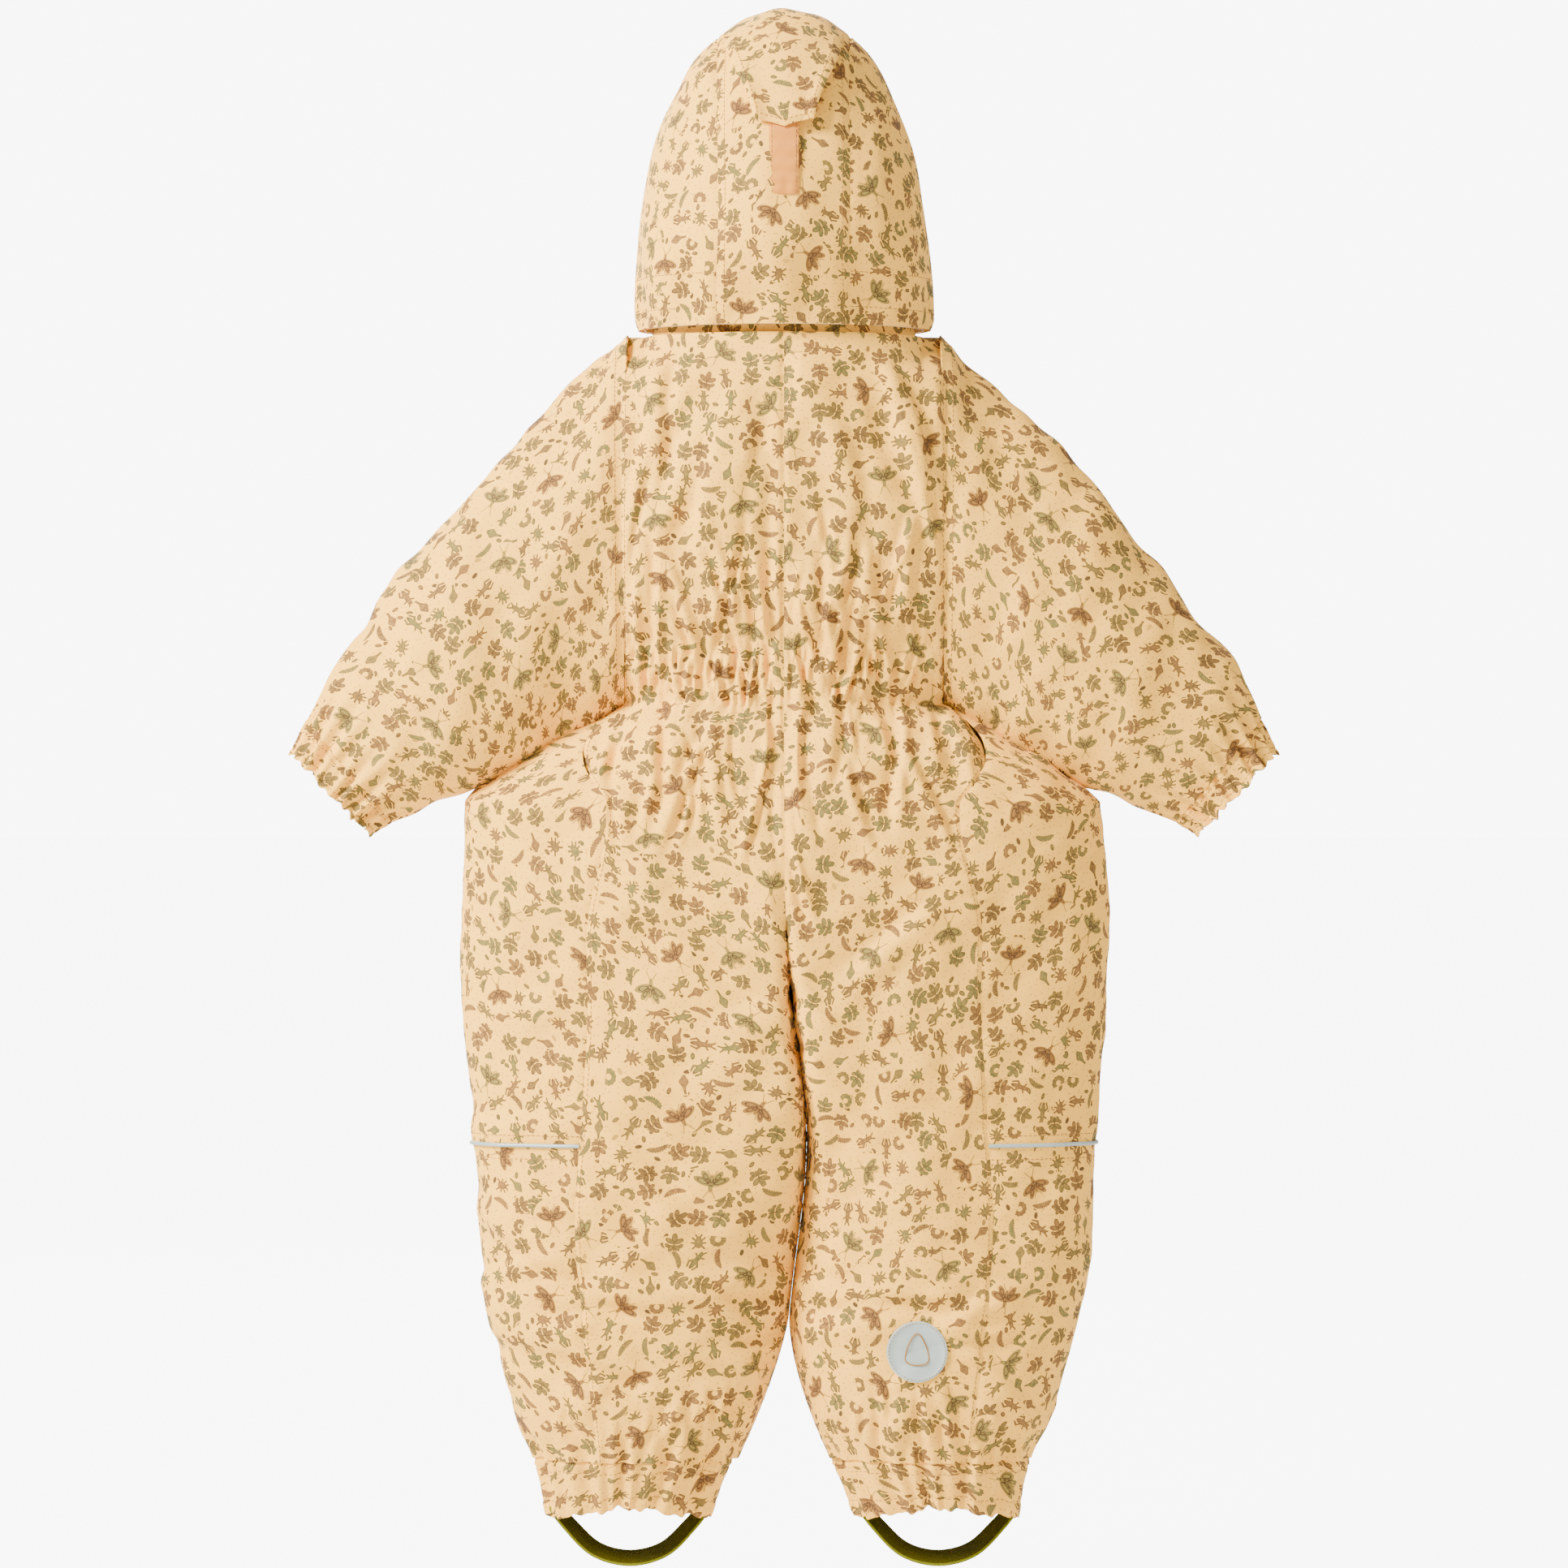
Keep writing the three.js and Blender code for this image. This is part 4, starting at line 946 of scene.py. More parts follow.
BACK_FOLDS = (
    random_lines(21, 120, ((-108, 108), (-236, -216), 0.0), (-8, 8), (34, 66), (1.5, 2.6),
                 (0.9, 1.9))
    + random_lines(22, 34, ((-100, 100), (-215, -150), 0.05), (-9, 9), (60, 130), (2.6, 4.6),
                   (1.4, 3.0))
    + random_lines(23, 30, ((-120, 120), (-310, -262), -0.12), (-10, 10), (60, 130), (3, 5.5),
                   (1.5, 3.4))
    + random_lines(24, 10, ((-95, 95), (-120, -60), -0.25), (-8, 8), (90, 150), (7, 11),
                   (2.2, 3.6))
    + [(6, -222, -4, -300, 3.4, -5.5), (0, -270, -10, -400, 4.2, -6.5),
       (93, -30, 100, -235, 4.5, 3.5), (-93, -30, -100, -235, 4.5, 3.5),
       (70, -2, 96, -110, 6, 3.6), (-60, -6, -92, -120, 6, 3.0),
       (104, -242, 178, -330, 7, -3.6), (-104, -242, -178, -330, 7, -3.6),
       (18, -420, 110, -372, 8, 3.2), (-24, -430, -118, -380, 8, 3.4)]
)
LEG_FOLDS = (
    random_lines(25, 26, ((-200, 200), (-690, -430), 0.0), (35, 110), (70, 150), (6, 12),
                 (1.4, 3.2))
    + random_lines(26, 70, ((-150, 150), (-752, -716), -0.1), (-16, 16), (34, 74), (2.2, 4.4),
                   (1.2, 2.8))
    + random_lines(27, 16, ((-150, 150), (-700, -640), 0.0), (60, 120), (50, 90), (4, 7),
                   (1.2, 2.4))
)


def waist_gathers(grid):
    """Short pleats over the back-waist elastic, and the drapes that run up and down from it."""
    x, y, z = np.moveaxis(grid, -1, 0)
    off = z - (WAIST + 14)
    band = smooth((34 - np.abs(off)) / 12)
    rows = 0.3 * np.cos(off * 0.62) * band
    edge = smooth((112 - np.abs(x)) / 12)
    swell = 3.2 * bell((np.abs(off) - 46) / 24)
    lines = creases(x, z, BACK_FOLDS) * smooth(y / 12)
    return 1.25 * lines + edge * smooth(y / 12) * (swell - 1.8 * band + rows)


def body_folds(grid):
    """Broad soft folds of the body and legs, with creases below the knee."""
    x, y, z = np.moveaxis(grid, -1, 0)
    folds = 2.6 * ripple(x, y * 0.6, z * 0.55, 96, 11) + 1.3 * ripple(x, y, z * 0.7, 41, 12)
    crumple = ripple(x, y, z, 24, 13) * 0.55
    legs = creases(x + 0.35 * np.where(y < 0, 60 - y, 0), z, LEG_FOLDS)
    calm = smooth(-z / 24)
    return (folds + crumple + 1.2 * legs) * calm * smooth((z - ANKLE) / 30)


def ankle_gathers(angle, z):
    """Pleats where the leg is drawn in over the ankle elastic."""
    pleat = np.sin(angle * 21 + 0.8 * np.sin(angle * 5)) * (0.8 + 0.2 * np.sin(angle * 3 + 1))
    rise = smooth((ANKLE + 46 - z) / 46)
    return rise**2 * (2.2 * pleat + 1.3 * np.sin(angle * 11 + 2)) - 2.6 * rise**2


def sleeve_folds(grid, u, v):
    x, y, z = np.moveaxis(grid, -1, 0)
    angle = 2 * math.pi * u
    soft = 3.2 * ripple(x * 0.8, y * 0.5, z * 0.8, 96, 31) + 1.5 * ripple(x, y, z, 42, 32)
    soft = soft + 0.6 * ripple(x, y, z, 22, 33)
    elbow = 2.6 * np.sin(v * 26 + 1.6 * np.sin(angle) + 0.6 * np.sin(2 * angle))
    elbow = elbow * bell((v - 0.62) / 0.2) * (0.5 + 0.5 * np.sin(angle + 0.7))
    drag = 2.8 * np.sin(angle * 4 + v * 7) * bell((v - 0.12) / 0.16)
    gather = smooth((v - 0.68) / (CUFF_START - 0.68)) ** 1.5
    pleat = np.sin(angle * 19 + 0.9 * np.sin(angle * 4)) * (0.75 + 0.25 * np.sin(angle * 5))
    total = (soft + elbow + drag) * smooth(v / 0.06) * (1 - gather * 0.75)
    total = total * (1 - 0.8 * bell(v / 0.14) * smooth(-np.cos(angle)))
    return total + gather * (2.4 * pleat - 2.6 * gather)


def finer(field, rows, columns):
    """A coarse grid of values resampled smoothly to more rows and columns."""
    def along(values, count):
        places = np.linspace(0, len(values) - 1, count)
        i = np.clip(places.astype(int), 0, len(values) - 2)
        t = (places - i)[:, None, None]
        a = values[np.maximum(i - 1, 0)]
        b, c = values[i], values[i + 1]
        d = values[np.minimum(i + 2, len(values) - 1)]
        return b + 0.5 * t * (c - a + t * (2 * a - 5 * b + 4 * c - d + t * (3 * (b - c) + d - a)))

    tall = along(field, rows)
    return along(tall.transpose(1, 0, 2), columns).transpose(1, 0, 2)


# ---------- where each piece of cloth belongs ----------
def leg_bend(sign):
    start = np.array([0.06 * sign, 0, -BRIEF_LINE * MM])
    return tuple(start), tuple(start + 0.15 * np.array([0.287 * sign, 0, -0.958]))


def follow(piece, how, slot, *nodes):
    """A piece rides on one body; given two bodies with a start and an end point, it keeps its place
    with its transform put into its mesh. The named parts are hidden.
    """
    if len(how) == 1:
        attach(piece, how[0])
    else:
        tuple(how[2])
        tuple(how[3])
        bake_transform(piece)
    if nodes:
        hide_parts(*nodes)
    return piece


def on_leg(side, sign):
    return ("torso", f"leg_{side}", *leg_bend(sign))


def on_sleeve(side, sign):
    return ("torso", f"sleeve_{side}", (0.1085 * sign, 0, -0.12), (0.262 * sign, 0, -0.12))


ON_HOOD = ("hood_band", "hood", (0, 0, 0.008), (0, 0, 0.085))
ON_TAB = ("hood", "hood_tab", (0, 0.0245, 0.2085), (0, 0.0345, 0.1865))


def picked(use):
    return tuple(getattr(bpy.context.scene.coverall_colours, use))[:3] + (1.0,)


STRAP_WEAVE = {"rough": 0.8, "threads": 520, "uneven": 0.8, "bump": 0.6, "sheen": 0.0,
               "gloss": 0.03}
FINISHES = {
    "shell": ("printed_cloth", {"rough": 0.78, "printed": True, "bump": 0.15}),
    "lining": ("lining_cloth",
               {"rough": 0.9, "threads": 700, "uneven": 2.2, "bump": 0.3, "sheen": 0.3}),
    "elastic": ("gathering_elastic", {"rough": 0.85, "threads": 420, "bump": 0.5}),
    "strap": ("strap_webbing", {**STRAP_WEAVE, "shade": 0.35}),
    "strap_edge": ("strap_edge_weave", {**STRAP_WEAVE, "shade": 0.25}),
    "thread": ("sewing_thread", {"rough": 0.7, "threads": 2500}),
    "tape": ("zip_tape_weave", {"rough": 0.85, "threads": 900, "bump": 0.4}),
    "reflective": ("reflective_weave", {"rough": 0.42, "threads": 1100, "bump": 0.15,
                                        "sheen": 0.0, "metal": 0.25}),
    "hook": ("hook_and_loop",
             {"rough": 0.95, "threads": 600, "uneven": 3.2, "bump": 0.8, "sheen": 0.4}),
    "label": ("label_weave", {"rough": 0.8}),
}


def finish(use):
    """The material of one use, in the colour that is picked for it."""
    name, weave_values = FINISHES[use]
    return cloth_finish(name, picked(use), **weave_values)


def two_faced():
    return [finish("shell"), finish("lining")]


LEAST_FLAT = 0.0101


def sew_sheet(name, node, how, grid, normal, flat, rests, materials=None, slot="shell_cloth",
              held="hung", **more):
    """A sheet that rides on its body or keeps its place, and stands for a node whose part it hides;
    the size of its flat cut is worked out and not used.
    """
    piece = cloth_piece(name, grid, normal, materials or two_faced(), **more)
    follow(piece, how, slot, node)
    width, length, area = cut_size(flat)
    max(width, LEAST_FLAT)
    max(length, LEAST_FLAT)
    return piece


def sewn_row(name, grid, normal, how):
    """Topstitching along a single row or column of a grid."""
    follow(stitches(name, grid, normal, finish("thread")), how, "shell_cloth")


def print_place(grid, shift, turn=0.0):
    """Lays a panel flat for the print, moved and turned so that it breaks at the seams."""
    u, v = lengths(grid)
    c, s = math.cos(turn), math.sin(turn)
    return np.stack([u * c + v * s + shift[0], v * c - u * s + shift[1]], axis=-1)


SHIFTS = {"back": (31, 12), "side": (171, 64), "front": (300, 90), "sleeve": (430, 211),
          "hood": (520, 40)}


def shifted(part, sign):
    x, y = SHIFTS[part]
    return x + 640 * (sign < 0), y + 35 * (sign < 0)


class BodyCloth:
    """The panels of the body and legs: fine grids of points with their folds in."""

    step = 3.0
    columns = {"back": 132, "side": 110, "front": 76}
    cache = {}

    @classmethod
    def panel(cls, part, sign):
        key = (part, sign)
        if key not in cls.cache:
            cls.cache[key] = cls.build(part, sign)
        return cls.cache[key]

    @classmethod
    def build(cls, part, sign):
        flat = body_grid(part, cls.step, cls.columns[part])
        if part == "side":
            flat = flat[row_heights(cls.step) >= -UNDERARM]
        if sign < 0:
            flat = mirrored(flat)
        z = flat[..., 2]
        centre = np.stack([np.where(z < CROTCH + 15, sign * (inseam(z) + leg_half(z)), 0 * z),
                           0 * z, z], -1)
        normal = outward(flat, centre)
        height = body_folds(flat)
        if part == "back":
            height = height + waist_gathers(flat)
        angle = np.arctan2(flat[..., 1], flat[..., 0] - centre[..., 0])
        height = height + ankle_gathers(angle, z)
        if part != "side":
            # the middle seams meet their mirror image and the armholes meet the sleeves, so
            # both stay where they are
            inner, outer = (flat[:, :1], flat[:, -1:])[::sign]
            away = np.linalg.norm(flat - inner, axis=-1)
            height = height * np.where(z > CROTCH, smooth(away / 12), smooth(away / 30))
            armhole = np.linalg.norm(flat - outer, axis=-1)
            height = height * np.where(z > UNDERARM - 12, smooth(armhole / 11), 1)
        grid = flat + normal * height[..., None]
        grid = seam_dip(grid, normal, ["left", "right"])
        if part != "side":
            grid[..., 0] = mix(grid[..., 0], flat[..., 0], bell(away / 5))
        grid[..., 0] -= 15 * bell((z + 535) / 95) * bell(grid[..., 0] / 70)
        uv = print_place(flat, shifted(part, sign), {"back": 0.0, "side": 0.06}.get(part, -0.05))
        return flat, grid, outward(grid, centre), uv


def cut_rows(part, top, bottom):
    """The rows of a panel between two heights down from the neckline, both taken in."""
    down = row_heights(BodyCloth.step)
    if part == "side":
        down = down[down >= -UNDERARM]
    rows = np.nonzero((down >= top - 0.01) & (down <= bottom + 0.01))[0]
    return slice(rows[0], rows[-1] + 1)


class Piece(bpy.types.Operator):
    bl_options = {"REGISTER", "UNDO"}

    def execute(self, context):
        bpy.ops.object.select_all(action="DESELECT")
        self.build()
        return {"FINISHED"}


class COVERALL_OT_body(Piece):
    """Sew the back, side and front panels of the body"""

    bl_idname = "coverall.body"
    bl_label = "Body"

    def build(self):
        for side, sign in SIDES:
            for part in ("back", "side", "front"):
                flat, grid, normal, uv = BodyCloth.panel(part, sign)
                rows = cut_rows(part, 0, BRIEF_LINE)
                sew_sheet(f"{part}_panel_cloth_{side}", f"{part}_panel_{side}", ("torso",),
                          grid[rows], normal[rows], flat[rows], ["collar_cloth"], uv=uv[rows])
                column = {"back": -3, "front": -3, "side": 2}[part]
                if sign < 0:
                    column = -1 - column
                if part != "side":
                    sewn_row(f"{part}_seam_stitches_{side}", grid[rows][:, column],
                             normal[rows][:, column], ("torso",))


class COVERALL_OT_legs(Piece):
    """Sew the leg panels and the piping at the knee"""

    bl_idname = "coverall.legs"
    bl_label = "Legs"

    def build(self):
        for side, sign in SIDES:
            how = on_leg(side, sign)
            for part in ("back", "front"):
                flat, grid, normal, uv = BodyCloth.panel(part, sign)
                rows = cut_rows(part, BRIEF_LINE, -ANKLE)
                sew_sheet(f"leg_{part}_cloth_{side}", f"leg_{part}_{side}", how, grid[rows],
                          normal[rows], flat[rows], [f"{part}_panel_cloth_{side}"],
                          uv=uv[rows])
                column = -3 if sign > 0 else 2
                sewn_row(f"leg_{part}_stitches_{side}", grid[rows][:, column],
                         normal[rows][:, column], how)
            flat, grid, normal, uv = BodyCloth.panel("side", sign)
            for name, top, bottom, move in (("upper", BRIEF_LINE, -KNEE - 1, (0, 0)),
                                            ("lower", -KNEE - 1, -ANKLE, (57, 23))):
                rows = cut_rows("side", top, bottom)
                sew_sheet(f"leg_side_{name}_cloth_{side}", f"leg_side_{name}_{side}", how,
                          grid[rows], normal[rows], flat[rows], [f"side_panel_cloth_{side}"],
                          uv=uv[rows] + np.array(move))
            row = cut_rows("side", -KNEE - 1, -KNEE).start
            line = (grid + normal * 0.7)[row]
            piping = tube_piece(f"knee_piping_bead_{side}", line, 1.35, finish("reflective"),
                                sides=12)
            follow(piping, how, "reflective", f"knee_piping_{side}")
            for step, word in ((-2, "above"), (3, "below")):
                sewn_row(f"knee_stitches_{word}_{side}", grid[row + step], normal[row + step], how)


def ankle_grid(sign, top, bottom, rows, columns):
    angle = -2 * math.pi * np.arange(columns)[None, :] / columns
    z = np.linspace(top, bottom, rows)[:, None]
    grid = leg_ring(angle + 0 * z, z + 0 * angle)
    grid[..., 0] *= sign
    return grid, angle + 0 * z


def gathered_ankle(sign):
    flat, _ = ankle_grid(sign, ANKLE + 4, HEM, 22, 228)
    z = flat[..., 2]
    centre = np.stack([sign * (inseam(z) + leg_half(z)), 0 * z, z], -1)
    normal = outward(flat, centre, closed=True)
    turn = np.arctan2(flat[..., 1], flat[..., 0] - centre[..., 0])
    pleat = np.sin(turn * 21 + 0.8 * np.sin(turn * 5)) * (0.8 + 0.2 * np.sin(turn * 3 + 1))
    share = clamp((ANKLE - z) / (ANKLE - HEM))
    fine = 0.6 * np.sin(turn * 33 + 2 * np.sin(turn * 4)) * share
    height = 2.2 * pleat * (1 - 0.25 * share) + 1.3 * np.sin(turn * 11 + 2) + fine - 2.6
    height = height + 1.9 * smooth((share - 0.45) / 0.5)
    height = height - 0.7 * (bell((share - 0.16) / 0.04) + bell((share - 0.72) / 0.04))
    height = height - 1.5 * smooth((z - ANKLE + 3) / 3)
    grid = flat + normal * height[..., None]
    arch = 4.2 * smooth((share - 0.3) / 0.7) * np.cos(turn * 2 + math.pi)
    ragged = 0.7 * np.sin(turn * 21 + 2 * np.sin(turn * 3)) + 0.5 * np.sin(turn * 34)
    grid[..., 2] += arch + share * (ragged + 0.9 * np.sin(turn * 9 + 2))
    return flat, grid, outward(grid, centre, closed=True)


class COVERALL_OT_ankles(Piece):
    """Gather the ankles over their elastic and sew the straps under the feet"""

    bl_idname = "coverall.ankles"
    bl_label = "Ankles and foot straps"

    def build(self):
        for side, sign in SIDES:
            flat, grid, normal = gathered_ankle(sign)
            how = (f"leg_{side}",)
            piece = sew_sheet(f"ankle_cuff_cloth_{side}", f"ankle_cuff_{side}", how, grid, normal,
                              flat, [f"leg_back_cloth_{side}"], held="gathered", closed=True,
                              uv=print_place(flat, shifted("side", sign)))
            for row, word in ((6, "top"), (16, "bottom")):
                sewn_row(f"ankle_stitches_{word}_{side}", around(grid[row]), around(normal[row]),
                         how)
            inner, _ = ankle_grid(sign, ANKLE - 12, HEM + 7, 10, 150)
            centre = np.stack([np.full(inner.shape[:2], sign * ANKLE_MIDDLE), 0 * inner[..., 0],
                               inner[..., 2]], -1)
            out = outward(inner, centre, closed=True)
            sew_sheet(f"ankle_elastic_band_{side}", f"ankle_elastic_{side}", how, inner - out * 9.0,
                      out, inner, [piece], materials=[finish("elastic")], slot="elastic_cloth",
                      held="stretched", thick=1.0, closed=True)
            self.strap(side, sign)

    def strap(self, side, sign):
        inset, drop = 2 + 1.7 + 1.6, 32.0
        inner, outer = HEM_INNER + inset, HEM_OUTER - inset
        points = [(inner, HEM + 5.5), (inner, HEM + 2)]
        for share, fall in ((0.09, 0.3), (0.27, 0.82), (0.5, 1), (0.73, 0.82), (0.91, 0.3)):
            points.append((mix(inner, outer, share), HEM - drop * fall))
        points += [(outer, HEM + 2), (outer, HEM + 5.5)]
        points = np.array([(x * sign, 0, z) for x, z in points], float)
        path = finer(points[:, None], 90, 1)
        share = np.linspace(0, 1, 90)
        width = mix(6, 15, smooth(np.minimum(share, 1 - share) / 0.13))
        centre = np.array([sign * ANKLE_MIDDLE, 0, HEM + 6.0])
        away = path - centre
        away = away / np.linalg.norm(away, axis=-1, keepdims=True)
        tilt = math.radians(30) * smooth(np.minimum(share, 1 - share) / 0.16)[:, None, None]
        across = np.cos(tilt) * np.array([0, 1.0, 0]) + np.sin(tilt) * away
        grid = path + np.linspace(-0.5, 0.5, 9)[None, :, None] * across * width[:, None, None]
        out = outward(grid, centre)
        grid = grid + out * 0.8
        sew_sheet(f"foot_strap_webbing_{side}", f"foot_strap_{side}", (f"foot_strap_{side}",), grid,
                  out, grid, [f"ankle_cuff_cloth_{side}"], materials=[finish("strap")],
                  slot="strap_elastic", thick=1.6)
        for edge, word in ((0, "back"), (-1, "front")):
            line = grid[4:-4, edge] - out[4:-4, edge] * 0.8
            rim = tube_piece(f"foot_strap_rim_{word}_{side}", line, 0.95, finish("strap_edge"),
                             sides=8, up=(0, 1, 0))
            follow(rim, (f"foot_strap_{side}",), "strap_elastic")


def sleeve_grid(sign, start, end, rows, columns):
    u = np.arange(columns)[None, :] / columns
    v = np.linspace(start, end, rows)[:, None]
    u, v = u + 0 * v, v + 0 * u
    grid = sleeve_point(u, v)
    grid[..., 0] *= sign
    middle = grid.mean(axis=1, keepdims=True) + 0 * grid
    return grid, u, v, middle


class COVERALL_OT_sleeves(Piece):
    """Sew the sleeves and gather their cuffs"""

    bl_idname = "coverall.sleeves"
    bl_label = "Sleeves"

    def build(self):
        for side, sign in SIDES:
            flat, u, v, middle = sleeve_grid(sign, -0.011, CUFF_START, 106, 228)
            normal = outward(flat, middle, closed=True)
            height = sleeve_folds(flat, u, v) - 0.9 * bell(v / 0.012)
            grid = flat + normal * height[..., None]
            out = outward(grid, middle, closed=True)
            sew_sheet(f"sleeve_cloth_{side}", f"sleeve_{side}", on_sleeve(side, sign), grid, out,
                      flat, [f"back_panel_cloth_{side}"], closed=True,
                      uv=print_place(flat, shifted("sleeve", sign), sign * 0.75))
            sewn_row(f"armhole_stitches_{side}", around(grid[3]), around(out[3]),
                     on_sleeve(side, sign))
            self.cuff(side, sign)

    def cuff(self, side, sign):
        flat, u, v, middle = sleeve_grid(sign, CUFF_START - 0.014, 1.0, 18, 228)
        normal = outward(flat, middle, closed=True)
        angle = 2 * math.pi * u
        pleat = np.sin(angle * 19 + 0.9 * np.sin(angle * 4)) * (0.75 + 0.25 * np.sin(angle * 5))
        share = clamp((v - CUFF_START) / (1 - CUFF_START))
        pleat = pleat + 0.5 * np.sin(angle * 31 + 2 * np.sin(angle * 3))
        height = 2.4 * pleat * (1 - 0.2 * share) - 2.6 + 1.6 * smooth((share - 0.5) / 0.5)
        height = height - 0.7 * (bell((share - 0.15) / 0.05) + bell((share - 0.8) / 0.05))
        height = height - 1.5 * smooth((CUFF_START + 0.01 - v) / 0.012)
        grid = flat + normal * height[..., None]
        frill = share * (0.9 * np.sin(angle * 19 + 2 * np.sin(angle * 3)) + 0.6 * np.sin(angle * 31)
                         + 0.9 * np.sin(angle * 8 + 1) + 0.5)
        grid = grid + np.array([0.7 * sign, 0, -0.7]) * frill[..., None]
        out = outward(grid, middle, closed=True)
        piece = sew_sheet(f"sleeve_cuff_cloth_{side}", f"sleeve_cuff_{side}", (f"sleeve_{side}",),
                          grid, out, flat, [f"sleeve_cloth_{side}"], held="gathered", closed=True,
                          uv=print_place(flat, shifted("front", sign)))
        for row, word in ((5, "inner"), (14, "outer")):
            sewn_row(f"cuff_stitches_{word}_{side}", around(grid[row]), around(out[row]),
                     (f"sleeve_{side}",))
        inner, _, _, middle = sleeve_grid(sign, CUFF_START + 0.02, 0.985, 8, 120)
        out = outward(inner, middle, closed=True)
        sew_sheet(f"cuff_elastic_band_{side}", f"cuff_elastic_{side}", (f"sleeve_{side}",),
                  inner - out * 9.5, out, inner, [piece], materials=[finish("elastic")],
                  slot="elastic_cloth", held="stretched", thick=1.0, closed=True)


def hood_folds(grid):
    x, y, z = np.moveaxis(grid, -1, 0)
    soft = 2.4 * ripple(x, y * 0.8, z * 0.7, 88, 51) + 1.1 * ripple(x, y, z * 0.7, 34, 52)
    low = 1.8 * np.sin(np.arctan2(x, y) * 11 + 1.1 * np.sin(z * 0.05)) * bell((z - 14) / 38)
    return (soft + low) * smooth((z - HOOD_HEM) / 10 + 0.35)


class COVERALL_OT_hood(Piece):
    """Sew the hood's panels, its hem band and the binding round the face"""

    bl_idname = "coverall.hood"
    bl_label = "Hood"

    def build(self):
        centre = HOOD_MIDDLE
        half = HOOD_CENTRE_HALF + 0.3
        for name, node, low, high, rows in (
                ("hood_centre_cloth", "hood_centre_panel", 0, CROWN_ANGLE, 76),
                ("hood_top_cloth", "hood_top_panel", CROWN_ANGLE, BRIM_ANGLE, 50)):
            flat = hood_strip(*lattice(-half, half, 34, low, high, rows))
            normal = outward(flat, centre)
            grid = flat + normal * hood_folds(flat)[..., None]
            edges = ["left", "right", "bottom" if low == 0 else "top"]
            grid = seam_dip(grid, normal, edges, depth=0.9)
            out = outward(grid, centre)
            uv = print_place(flat[::-1], (0, 0))[::-1] * np.array([1, -1])
            uv = uv + np.array(shifted("hood", 1)) + low
            sew_sheet(name, node, ON_HOOD, grid, out, flat, ["hood_hem_band"],
                      uv=uv)
            for column, word in ((2, "right"), (-3, "left")):
                sewn_row(f"{name}_stitches_{word}", grid[:, column], out[:, column], ON_HOOD)
            row = -3 if low == 0 else 2
            sewn_row(f"{name}_stitches_crown", grid[row], out[row], ON_HOOD)
        for side, sign in SIDES:
            turn = np.radians(np.linspace(0, 90, 84))[:, None]
            top = hood_top_at(HOOD_CENTRE_HALF)
            z = np.minimum(HOOD_HEM + (top - HOOD_HEM) * np.sin(turn), top - 0.05)
            start = np.arcsin(clamp(HOOD_CENTRE_HALF / hood_half(z)))
            share = np.linspace(0, 1, 74)[None, :]
            angle = mix(start, np.maximum(face_angle(z), start), share)
            flat = hood_ring(angle, z + 0 * angle)
            if sign < 0:
                flat = mirrored(flat)
            normal = outward(flat, centre)
            grid = flat + normal * hood_folds(flat)[..., None]
            grid = seam_dip(grid, normal, ["left" if sign > 0 else "right"], depth=0.9)
            out = outward(grid, centre)
            sew_sheet(f"hood_side_cloth_{side}", f"hood_side_{side}", ON_HOOD, grid, out, flat,
                      ["hood_hem_band"], uv=print_place(flat, shifted("sleeve", -sign), 0.2 * sign))
            for row, word in ((3, "hem"), (9, "band")):
                sewn_row(f"hood_{word}_stitches_{side}", grid[row], out[row], ON_HOOD)
        self.band_and_binding()

    def band_and_binding(self):
        angle, z = lattice(160, -160, 150, HOOD_HEM, HOOD_HEM + 20, 9)
        ring = hood_ring(np.radians(angle), HOOD_HEM + 0 * z)
        ring[..., 2] = z
        out = outward(ring, np.array([0, -7, 15.0]))
        sew_sheet("hood_hem_facing", "hood_hem_band", ("hood_band",), ring - out * 3.6, out, ring,
                  ["collar_cloth"], materials=[finish("lining")], thick=1.2)
        points = []
        def at_brim(x):
            return hood_strip(np.array(float(x)), np.array(float(BRIM_ANGLE)))

        brim = at_brim(HOOD_CENTRE_HALF)[2]
        for share in np.linspace(0, 1, 9):
            z = mix(HOOD_HEM + 3, brim - 6, share)
            points.append(hood_ring(face_angle(z), z) + np.array([-1.2, -2.0, 0]))
        for x in (36, 27, 18, 9):
            points.append(at_brim(x) + np.array([0, -1.8, -1]))
        left = np.array(points)
        middle = at_brim(0) + np.array([0, -1.8, -1])
        whole = np.concatenate([left, middle[None], left[::-1] * np.array([-1, 1, 1])])
        path = finer(whole[:, None], 320, 1)[:, 0]
        along = np.arange(320)
        radius = 2.1 + 0.28 * np.sin(along * 1.05 + 0.8 * np.sin(along * 0.23))
        binding = tube_piece("hood_face_binding_cloth", path, radius, finish("shell"), sides=12,
                             up=(0, 1, 0.2))
        follow(binding, ON_HOOD, "shell_cloth", "hood_face_binding")


